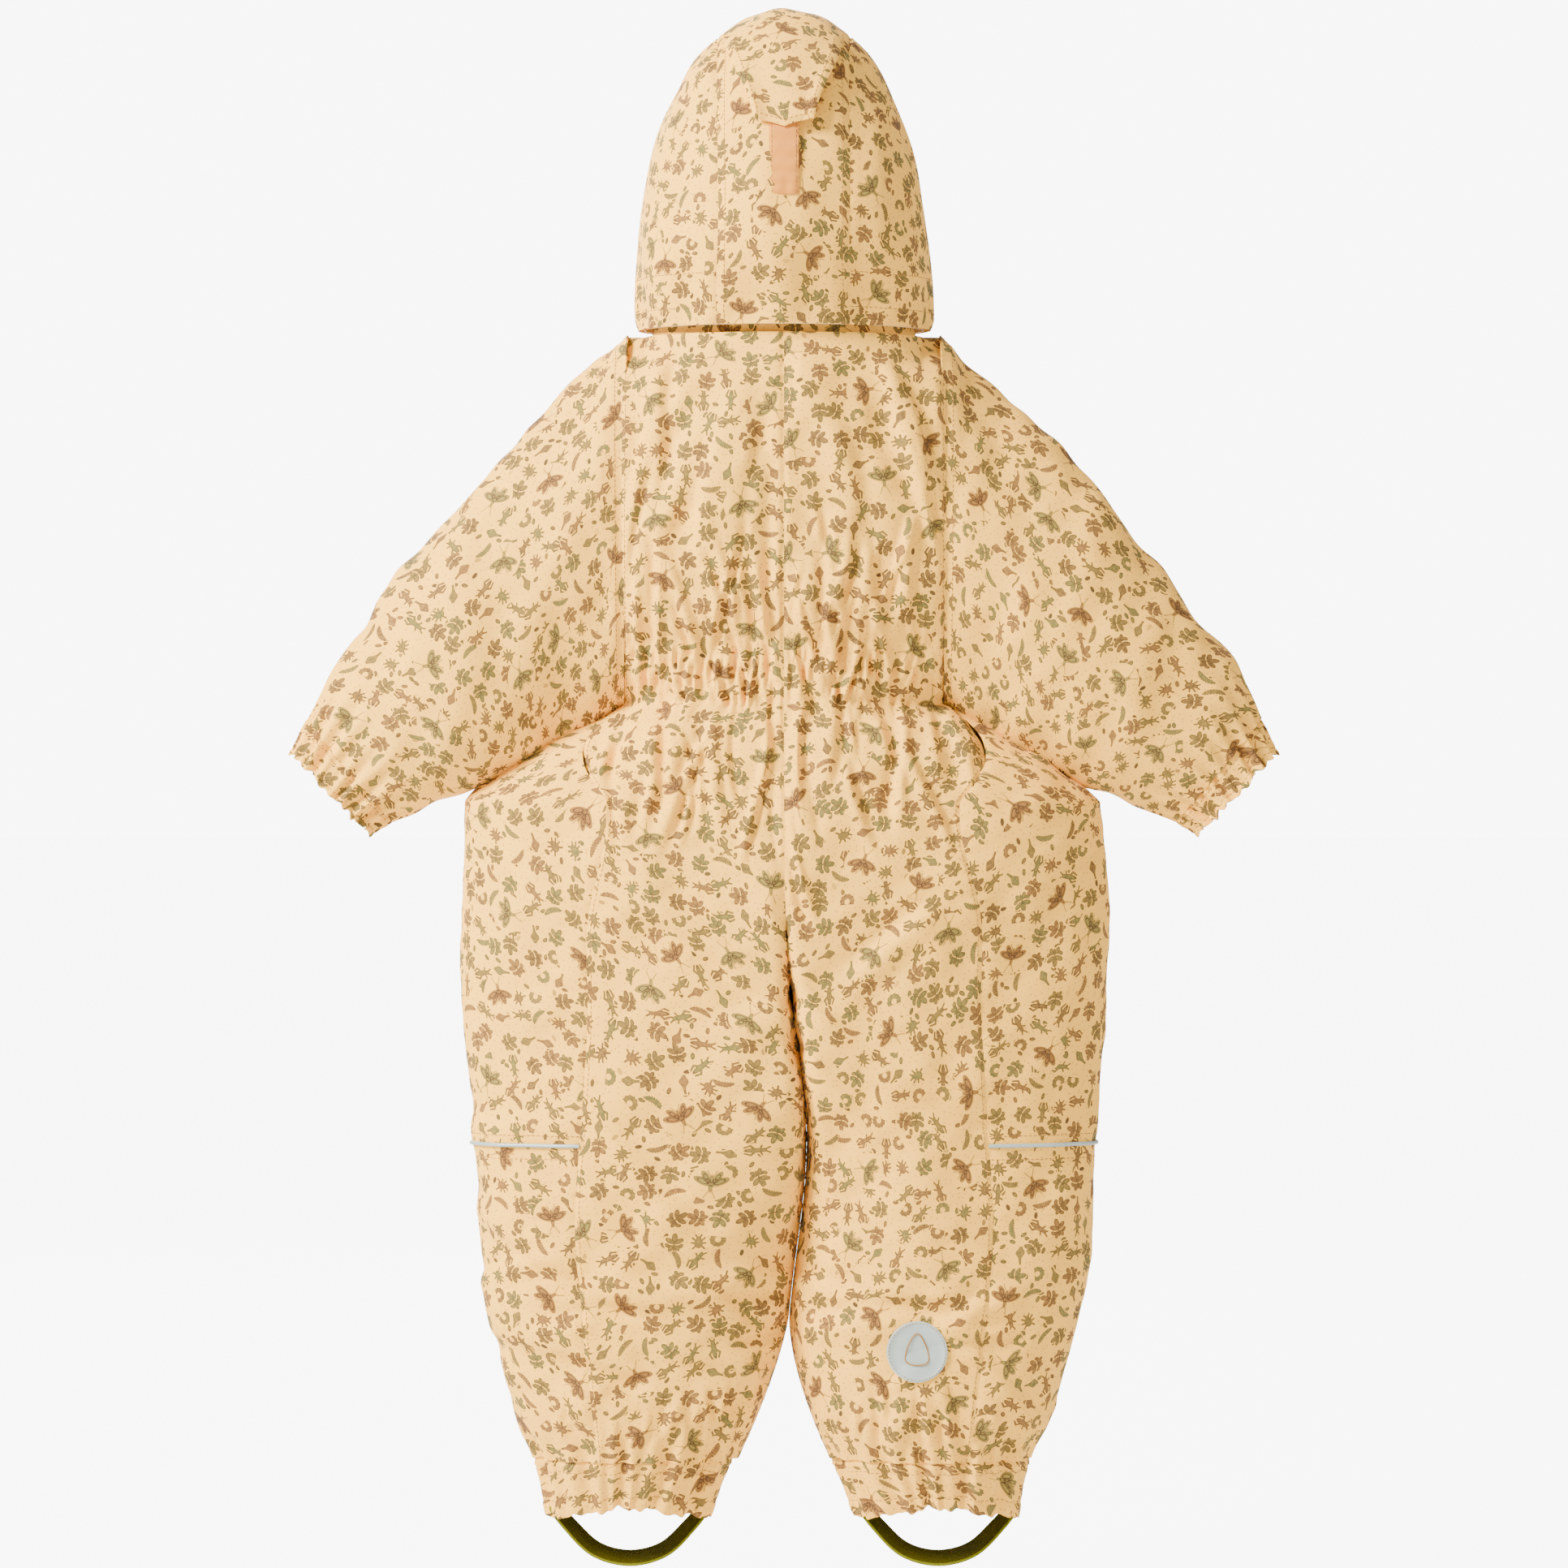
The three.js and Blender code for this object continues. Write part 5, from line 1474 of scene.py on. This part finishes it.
class COVERALL_OT_tab(Piece):
    """Sew the adjuster tab on the back of the hood and the strip it closes onto"""

    bl_idname = "coverall.tab"
    bl_label = "Hood tab"

    def build(self):
        x, z = lattice(-9.5, 9.5, 12, 150, 88, 36)
        flat = down_back(x, z, np.full_like(z, 0.9))
        out = outward(flat, HOOD_MIDDLE)
        grid = seam_dip(flat + out * 1.0, out, ["left", "right", "top", "bottom"], depth=0.5,
                        width=1.2)
        sew_sheet("loop_strip_cloth", "loop_strip", ("hood",), grid, out, flat,
                  ["hood_centre_cloth"], materials=[finish("hook")], slot="hook_cloth", held="laid",
                  thick=1.3)
        for column, word in ((1, "right"), (-2, "left")):
            sewn_row(f"loop_strip_stitches_{word}", grid[:, column], out[:, column], ("hood",))
        across, t = lattice(-1, 1, 40, 0, 1, 60)
        half = mix(38, 18.5, smooth(t * 1.05) * 0.4 + t * 0.6)
        point = 9 * (1 - np.abs(across)) * smooth(t)
        crown = hood_strip(across * half, CROWN_ANGLE + 0 * t)[..., 2] - 1.0
        z = crown - mix(0, 67, t) - point
        lift = 3.0 + 2.0 * smooth(t * 3) + 3.2 * smooth((np.abs(across) - 0.5) / 0.5) * t
        lift = lift + 0.5 * np.sin(across * 5 + t * 4) * t
        flat = down_back(across * half, z, lift)
        out = outward(flat, HOOD_MIDDLE)
        edge = np.minimum(1 - np.abs(across), (1 - t) * 2.2)
        rolled = 0.8 * bell(edge / 0.05) - 0.35 * bell((edge - 0.14) / 0.05)
        grid = flat - out * rolled[..., None]
        out = outward(grid, HOOD_MIDDLE)
        tab = sew_sheet("hood_tab_cloth", "hood_tab", ON_TAB, grid, out, flat, ["hood_top_cloth"],
                        thick=2.6, uv=print_place(flat, (903, 77), 0.3))
        line = np.concatenate([grid[3:56, 3], grid[56, 3:-3], grid[3:56, -4][::-1]])
        outs = np.concatenate([out[3:56, 3], out[56, 3:-3], out[3:56, -4][::-1]])
        sewn_row("hood_tab_stitches", line, outs, ON_TAB)
        x, z = lattice(-7, 7, 8, 148, 138, 6)
        patch = down_back(x, z, np.full_like(z, 2.7))
        out = outward(patch, HOOD_MIDDLE)
        sew_sheet("tab_hook_patch_cloth", "tab_hook_patch", ("hood_tab",), patch, out, patch, [tab],
                  materials=[finish("hook")], slot="hook_cloth", held="laid", thick=0.8)


class COVERALL_OT_neck(Piece):
    """Sew the collar, the guards behind the zip, the hanger loop and the neck label"""

    bl_idname = "coverall.neck"
    bl_label = "Collar and facings"

    def build(self):
        end = math.pi - math.asin(TAPE_EDGE / (NECK_HALF - 2.35))
        flat = collar_point(*lattice(end, -end, 170, -COLLAR_TUCK, COLLAR_HEIGHT, 22))
        centre = np.array([0, -4, 10.0])
        out = outward(flat, centre)
        grid = flat + out * (0.35 * ripple(*np.moveaxis(flat, -1, 0), 30, 71))[..., None]
        grid = seam_dip(grid, out, ["bottom"], depth=0.6)
        sew_sheet("collar_cloth", "collar", ("torso",), grid, out, flat,
                  ["back_panel_cloth_left", "back_panel_cloth_right"], thick=1.8,
                  uv=print_place(flat, (811, 420)))
        sewn_row("collar_edge_stitches", grid[-3], out[-3], ("torso",))
        self.guards()
        self.inside_neck()

    def guards(self):
        x, z = lattice(-13, 26, 16, CROTCH + 77, -10, 120)
        deep = torso_depth(np.maximum(x, 14.0), np.minimum(z, -30.0), -1)
        y = -mix(FRONT_DEPTH - 6.2, deep - 3.05, smooth((x - 10) / 7))
        grid = np.stack([x, y + 0.25 * np.sin(z * 0.11 + x * 0.2), z], -1)
        out = outward(grid, grid + BEHIND)
        sew_sheet("wind_guard_cloth", "wind_guard", ("torso",), grid, out, grid,
                  ["front_panel_cloth_left"], thick=1.4, uv=print_place(grid, (77, 900)))
        x, z = lattice(-17, 23, 18, 4, COLLAR_HEIGHT, 12)
        y = -((FRONT_DEPTH - COLLAR_GAP) * rounded(x / NECK_HALF) - 3.05)
        grid = np.stack([x, y, z], -1)
        out = outward(grid, grid + BEHIND)
        sew_sheet("chin_guard_cloth", "chin_guard", ("torso",), grid, out, grid, ["collar_cloth"],
                  materials=[finish("lining")], thick=1.4)

    def inside_neck(self):
        along, v = lattice(1, -1, 40, -0.5, 0.5, 5)
        x, z = 24 * along, -1 - 11 * rounded(along) + v * 5
        behind = collar_point(np.arcsin(x / NECK_HALF), np.maximum(z, -6.0))[..., 1]
        loop = np.stack([x, behind - 2.7, z], -1)
        out = outward(loop, loop - BEHIND)
        sew_sheet("hanger_loop_tape", "hanger_loop", ("torso",), loop, out, loop, ["collar_cloth"],
                  materials=[finish("tape")], slot="zip_tape", thick=1.0)
        x, z = lattice(15, -15, 14, 7, 24, 9)
        behind = collar_point(np.arcsin(x / NECK_HALF), z)[..., 1]
        grid = np.stack([x, behind - 2.35, z], -1)
        out = outward(grid, grid - BEHIND)
        sew_sheet("neck_label_cloth", "neck_label", ("torso",), grid, out, grid, ["collar_cloth"],
                  materials=[finish("label")], slot="label_cloth", held="laid", thick=0.7)
        x, z = lattice(-1, 1, 150, WAIST + 28, WAIST, 16)
        x = x * 99
        band = np.stack([x, torso_depth(np.abs(x), z, 1), z], -1)
        out = outward(band, np.array([0, 0, WAIST + 14.0]))
        band = band - out * (6.4 + 0.5 * np.sin(x * 0.93))[..., None]
        sew_sheet("waist_elastic_band", "waist_elastic", ("torso",), band, out, band,
                  ["back_panel_cloth_left", "back_panel_cloth_right"],
                  materials=[finish("elastic")], slot="elastic_cloth", held="stretched", thick=1.2)


# ---------- hard pieces, made with Blender's own tools ----------
def only(piece):
    bpy.ops.object.select_all(action="DESELECT")
    piece.select_set(True)
    bpy.context.view_layer.objects.active = piece


def settled(piece, name, material):
    """Names a primitive, gives it a finish, and puts its place into its mesh."""
    only(piece)
    bpy.ops.object.transform_apply(location=True, rotation=True, scale=True)
    piece.name = piece.data.name = name
    piece.data.materials.clear()
    piece.data.materials.append(material)
    return piece


def choose_faces(piece, wanted):
    """Selects the faces whose centre and normal `wanted` accepts, in edit mode."""
    bpy.ops.object.mode_set(mode="OBJECT")
    for face in piece.data.polygons:
        face.select = bool(wanted(face.center, face.normal))
    for edge in piece.data.edges:
        edge.select = False
    for vertex in piece.data.vertices:
        vertex.select = False
    for face in piece.data.polygons:
        if face.select:
            for corner in face.vertices:
                piece.data.vertices[corner].select = True
    bpy.ops.object.mode_set(mode="EDIT")
    bpy.ops.mesh.select_mode(type="FACE")


def one_tooth(material):
    """A zip tooth: a block with a narrower rounded head that reaches past the middle."""
    bpy.ops.object.select_all(action="DESELECT")
    bpy.ops.mesh.primitive_cube_add(size=1, location=(0.0024, 0, 0))
    tooth = bpy.context.object
    tooth.scale = (0.0022, 0.0032, 0.0013)
    settled(tooth, "tooth", material)
    choose_faces(tooth, lambda centre, normal: normal.x < -0.9)
    bpy.ops.mesh.extrude_region_move(TRANSFORM_OT_translate={"value": (-0.0010, 0, 0)})
    bpy.ops.transform.resize(value=(1, 0.72, 0.75))
    bpy.ops.mesh.extrude_region_move(TRANSFORM_OT_translate={"value": (-0.0007, 0, 0)})
    bpy.ops.transform.resize(value=(1, 0.8, 1.05))
    bpy.ops.object.mode_set(mode="OBJECT")
    return tooth


class COVERALL_OT_zip(Piece):
    """Set the zip's teeth on their tapes, and finish its slider, pull and stop"""

    bl_idname = "coverall.zip"
    bl_label = "Front zip"

    def build(self):
        plastic = hard_finish("zip_moulding", picked("zip"), rough=0.38)
        for name in ("zip_slider", "zip_pull", "zip_bottom_stop"):
            self.paint(name, plastic)
        metal = hard_finish("snap_metal", picked("snap"), rough=0.32, metal=1.0)
        for place in ("back", "left", "right"):
            self.paint(f"collar_stud_{place}", metal)
            self.paint(f"hood_socket_{place}", metal)
        z = np.linspace(0.030, -0.446, 190)[:, None] / MM
        for side, sign in SIDES:
            x = np.linspace(3.7, 13.3, 9)[None, :] * sign
            y = -ZIP_FACE + 0.1 * np.sin(z * 0.6) + 0 * x
            grid = np.stack([x + 0 * z, y, z + 0 * x], -1)
            out = outward(grid, grid + BEHIND)
            sew_sheet(f"zip_tape_cloth_{side}", f"zip_tape_{side}", ("torso",), grid + out * 0.6,
                      out, grid, [f"front_panel_cloth_{side}"], materials=[finish("tape")],
                      slot="zip_tape", thick=1.2)
            cord = np.stack([np.full(190, 3.9 * sign), np.full(190, -68.3), z[:, 0]], -1)
            bead = tube_piece(f"zip_tape_bead_{side}", cord, 0.7, finish("tape"), sides=8,
                              up=(0, 1, 0))
            follow(bead, ("torso",), "zip_tape")
            self.row_of_teeth(side, sign, plastic)

    def paint(self, node, material):
        piece = next(o for o in bpy.context.scene.objects if o.get("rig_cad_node") == node)
        piece.data.materials.clear()
        piece.data.materials.append(material)

    def row_of_teeth(self, side, sign, plastic):
        tooth = one_tooth(plastic)
        pitch, count = 0.0028, 166
        only(tooth)
        run = tooth.modifiers.new("run", "ARRAY")
        run.use_relative_offset, run.use_constant_offset = False, True
        run.constant_offset_displace = (0, 0, -pitch)
        run.count = count
        bpy.ops.object.modifier_apply(modifier="run")
        top = 0.0262 - (pitch / 2 if sign < 0 else 0)
        tooth.location = (0, round(-ZIP_FACE * MM, 4), top)
        if sign < 0:
            tooth.scale.x = -1
        settled(tooth, f"zip_teeth_row_{side}", plastic)
        recalculate(tooth)
        follow(tooth, ("torso",), "zip_plastic", f"zip_teeth_{side}")


class COVERALL_OT_calf_patch(Piece):
    """Sew the round reflective patch onto the right calf"""

    bl_idname = "coverall.calf_patch"
    bl_label = "Calf patch"

    def build(self):
        radius, x0, z0 = 20.0, 87.5, -670.0
        bpy.ops.mesh.primitive_circle_add(vertices=96, radius=radius, fill_type="NGON")
        patch = bpy.context.object
        patch.name = patch.data.name = "calf_patch_cloth"
        bpy.ops.object.mode_set(mode="EDIT")
        bpy.ops.mesh.select_all(action="SELECT")
        bpy.ops.mesh.extrude_region_move(TRANSFORM_OT_translate={"value": (0, 0, 1.2)})
        for inset, rise in ((0.5, 0.25), (1.1, 0.1), (0.5, -0.35), (4.5, 0), (5, 0), (5, 0)):
            bpy.ops.mesh.inset(thickness=inset)
            if rise:
                bpy.ops.transform.translate(value=(0, 0, rise))
        bpy.ops.object.mode_set(mode="OBJECT")
        patch.data.materials.append(finish("reflective"))
        layer = patch.data.uv_layers.new(name="cloth")
        for loop in patch.data.loops:
            co = patch.data.vertices[loop.vertex_index].co
            layer.data[loop.index].uv = (co.x * MM, co.y * MM)
        spots = np.array([v.co for v in patch.data.vertices])
        places, _ = self.on_calf(x0 + spots[:, 0], z0 - spots[:, 1], spots[:, 2])
        for vertex, place in zip(patch.data.vertices, places):
            vertex.co = place * MM
        for face in patch.data.polygons:
            face.use_smooth = True
        recalculate(patch)
        patch.data.set_sharp_from_angle(angle=math.radians(40))
        how = on_leg("right", -1)
        follow(patch, how, "reflective", "calf_patch")
        turn = np.linspace(0, 2 * math.pi, 120)
        line, out = self.on_calf(x0 + 18.6 * np.cos(turn), z0 + 18.6 * np.sin(turn),
                                 np.full(120, 1.45))
        sewing = stitches("calf_patch_stitches", line, out, finish("thread"), pitch=2.4)
        follow(sewing, how, "reflective")
        # a plain leaf outline in the middle
        t = np.linspace(0, 2 * math.pi, 90)
        leaf_x = 7.5 * np.sin(t) * (1 - 0.25 * np.cos(t))
        leaf_z = 10.5 * np.cos(t) + 1.5 * np.cos(2 * t)
        line, _ = self.on_calf(x0 + leaf_x[:-1], z0 + leaf_z[:-1], np.full(89, 1.75))
        rim = tube_piece("calf_patch_leaf", line, 0.42, finish("thread"), sides=6, closed=True,
                         up=(0, 1, 0))
        follow(rim, how, "reflective")

    def on_calf(self, x, z, lift):
        """Points on the right calf at x and z, raised by `lift`, and the way out from it."""
        flat, grid, normal, _ = BodyCloth.panel("back", -1)
        near = (flat[..., 2] < -600) & (flat[..., 2] > -735)
        points, outs = grid[near], normal[near]
        places, ways = [], []
        for px, pz, up in zip(x, z, lift):
            away = (points[:, 0] + px) ** 2 + (points[:, 2] - pz) ** 2
            away = away + 400 * (points[:, 1] < 12)
            weight = np.exp(-away / 40)
            weight /= weight.sum()
            out = (outs * weight[:, None]).sum(axis=0)
            out /= np.linalg.norm(out)
            middle = (points * weight[:, None]).sum(axis=0)
            slide = np.array([-px, 0, pz]) - middle
            y = middle[1] - (slide[0] * out[0] + slide[2] * out[2]) / max(out[1], 0.2)
            places.append(np.array([-px, y, pz]) + out * (up + 0.5))
            ways.append(out)
        return np.array(places), np.array(ways)


class COVERALL_OT_stage(Piece):
    """Make the pale floor, the soft lights and the camera behind the suit"""

    bl_idname = "coverall.stage"
    bl_label = "Stage"

    def build(self):
        scene = bpy.context.scene
        bpy.ops.mesh.primitive_circle_add(vertices=64, radius=60, fill_type="NGON",
                                          location=(0, 0, -0.86))
        floor = bpy.context.object
        floor.name = "floor"
        floor.data.materials.append(self.pale())
        world = bpy.data.worlds.new("studio")
        scene.world = world
        world.use_nodes = True
        tree = world.node_tree
        plain = tree.nodes["Background"]
        plain.inputs["Color"].default_value = (1, 0.985, 0.965, 1)
        plain.inputs["Strength"].default_value = LIGHTING["fill"]
        seen = add_node(tree, "Background", Color=(1, 1, 1, 1), Strength=LIGHTING["backdrop"])
        self.to_camera(tree, plain, seen, tree.nodes["World Output"])
        lamps = (("key_light", (2.7, 1.7, 1.9), 1.3, LIGHTING["key"]),
                 ("side_light", (-2.6, 1.7, 0.5), 2.0, LIGHTING["side"]),
                 ("front_light", (0.9, -3.0, 1.0), 2.2, LIGHTING["front"]))
        for name, place, size, power in lamps:
            lamp = bpy.data.lights.new(name, "AREA")
            lamp.energy, lamp.size = power, size
            lamp.color = (1, 0.985, 0.96)
            holder = bpy.data.objects.new(name, lamp)
            scene.collection.objects.link(holder)
            away = -np.array(place) + np.array([0, 0, -0.3])
            holder.location = place
            holder.rotation_euler = Vector(away).to_track_quat("-Z", "Y").to_euler()
        camera = bpy.data.cameras.new("camera")
        camera.lens, camera.sensor_width = 138.0, 36
        camera.clip_end = 200
        holder = bpy.data.objects.new("camera", camera)
        scene.collection.objects.link(holder)
        holder.location = (0, 4.0, -0.297)
        holder.rotation_euler = (math.pi / 2, 0, math.pi)
        scene.camera = holder

    def pale(self):
        material, tree, shader = new_finish("pale_floor", Base_Color=(0.8, 0.8, 0.79, 1),
                                            Roughness=0.9, Specular_IOR_Level=0.0)
        bright = add_node(tree, "Emission", Strength=LIGHTING["floor"])
        lit = tree.nodes.new("ShaderNodeMixShader")
        lit.inputs[0].default_value = 0.8
        tree.links.new(shader.outputs[0], lit.inputs[1])
        tree.links.new(bright.outputs[0], lit.inputs[2])
        self.to_camera(tree, shader, lit, tree.nodes["Material Output"])
        return material

    def to_camera(self, tree, usual, seen, end):
        """The camera sees `seen`, and all other light meets `usual`."""
        ray = tree.nodes.new("ShaderNodeLightPath")
        both = tree.nodes.new("ShaderNodeMixShader")
        tree.links.new(ray.outputs["Is Camera Ray"], both.inputs[0])
        tree.links.new(usual.outputs[0], both.inputs[1])
        tree.links.new(seen.outputs[0], both.inputs[2])
        tree.links.new(both.outputs[0], end.inputs[0])


LIGHTING = {"fill": 0.85, "backdrop": 8.5, "floor": 10.0, "key": 690, "side": 40, "front": 160}


# ---------- what a user may change ----------
def colour_property(name, description, default):
    return FloatVectorProperty(name=name, description=description, subtype="COLOR", size=3,
                               min=0, max=1, default=default[:3])


class CoverallColours(bpy.types.PropertyGroup):
    shell: colour_property("Cloth", "Ground colour of the printed cloth", tint(244, 181, 66))
    lining: colour_property("Lining", "Colour of the plain lining", tint(250, 212, 140))
    elastic: colour_property("Elastic", "Colour of the gathering elastics", tint(211, 181, 130))
    strap: colour_property("Foot straps", "Colour of the straps under the feet", tint(70, 64, 3))
    strap_edge: colour_property("Strap edges", "Colour of the straps' edges", tint(112, 112, 24))
    thread: colour_property("Thread", "Colour of the topstitching", tint(150, 104, 46))
    tape: colour_property("Zip tape", "Colour of the zip's tapes", tint(68, 58, 32))
    zip: colour_property("Zip", "Colour of the zip's teeth and slider", tint(76, 65, 33))
    snap: colour_property("Snaps", "Colour of the studs and sockets", tint(125, 99, 50))
    hook: colour_property("Hook and loop", "Colour of the closing strip", tint(206, 128, 32))
    reflective: colour_property("Reflective", "Colour of the piping and patch", tint(159, 169, 162))
    label: colour_property("Label", "Colour of the neck label", tint(250, 228, 162))


class CoverallSizes(bpy.types.PropertyGroup):
    cloth: FloatProperty(name="Cloth thickness", description="Thickness of the shell and lining",
                         default=CLOTH_THICK * MM, min=0.0005, max=0.003, unit="LENGTH")


PIECES = (COVERALL_OT_body, COVERALL_OT_legs, COVERALL_OT_ankles, COVERALL_OT_sleeves,
          COVERALL_OT_hood, COVERALL_OT_tab, COVERALL_OT_neck, COVERALL_OT_zip,
          COVERALL_OT_calf_patch, COVERALL_OT_stage)


class COVERALL_PT_panel(bpy.types.Panel):
    """Lists the coverall's pieces and its colours"""

    bl_idname = "COVERALL_PT_panel"
    bl_label = "Coverall"
    bl_space_type = "VIEW_3D"
    bl_region_type = "UI"
    bl_category = "Coverall"

    def draw(self, context):
        for name in CoverallColours.__annotations__:
            self.layout.prop(context.scene.coverall_colours, name)
        self.layout.prop(context.scene.coverall_sizes, "cloth")
        for piece in PIECES:
            self.layout.operator(piece.bl_idname)


CLASSES = (CoverallColours, CoverallSizes, *PIECES, COVERALL_PT_panel)


def register():
    for cls in CLASSES:
        bpy.utils.register_class(cls)
    bpy.types.Scene.coverall_colours = PointerProperty(type=CoverallColours)
    bpy.types.Scene.coverall_sizes = PointerProperty(type=CoverallSizes)


def unregister():
    del bpy.types.Scene.coverall_sizes
    del bpy.types.Scene.coverall_colours
    for cls in reversed(CLASSES):
        bpy.utils.unregister_class(cls)


def main():
    register()
    for piece in PIECES:
        group, name = piece.bl_idname.split(".")
        getattr(getattr(bpy.ops, group), name)()


if __name__ == "__main__":
    main()
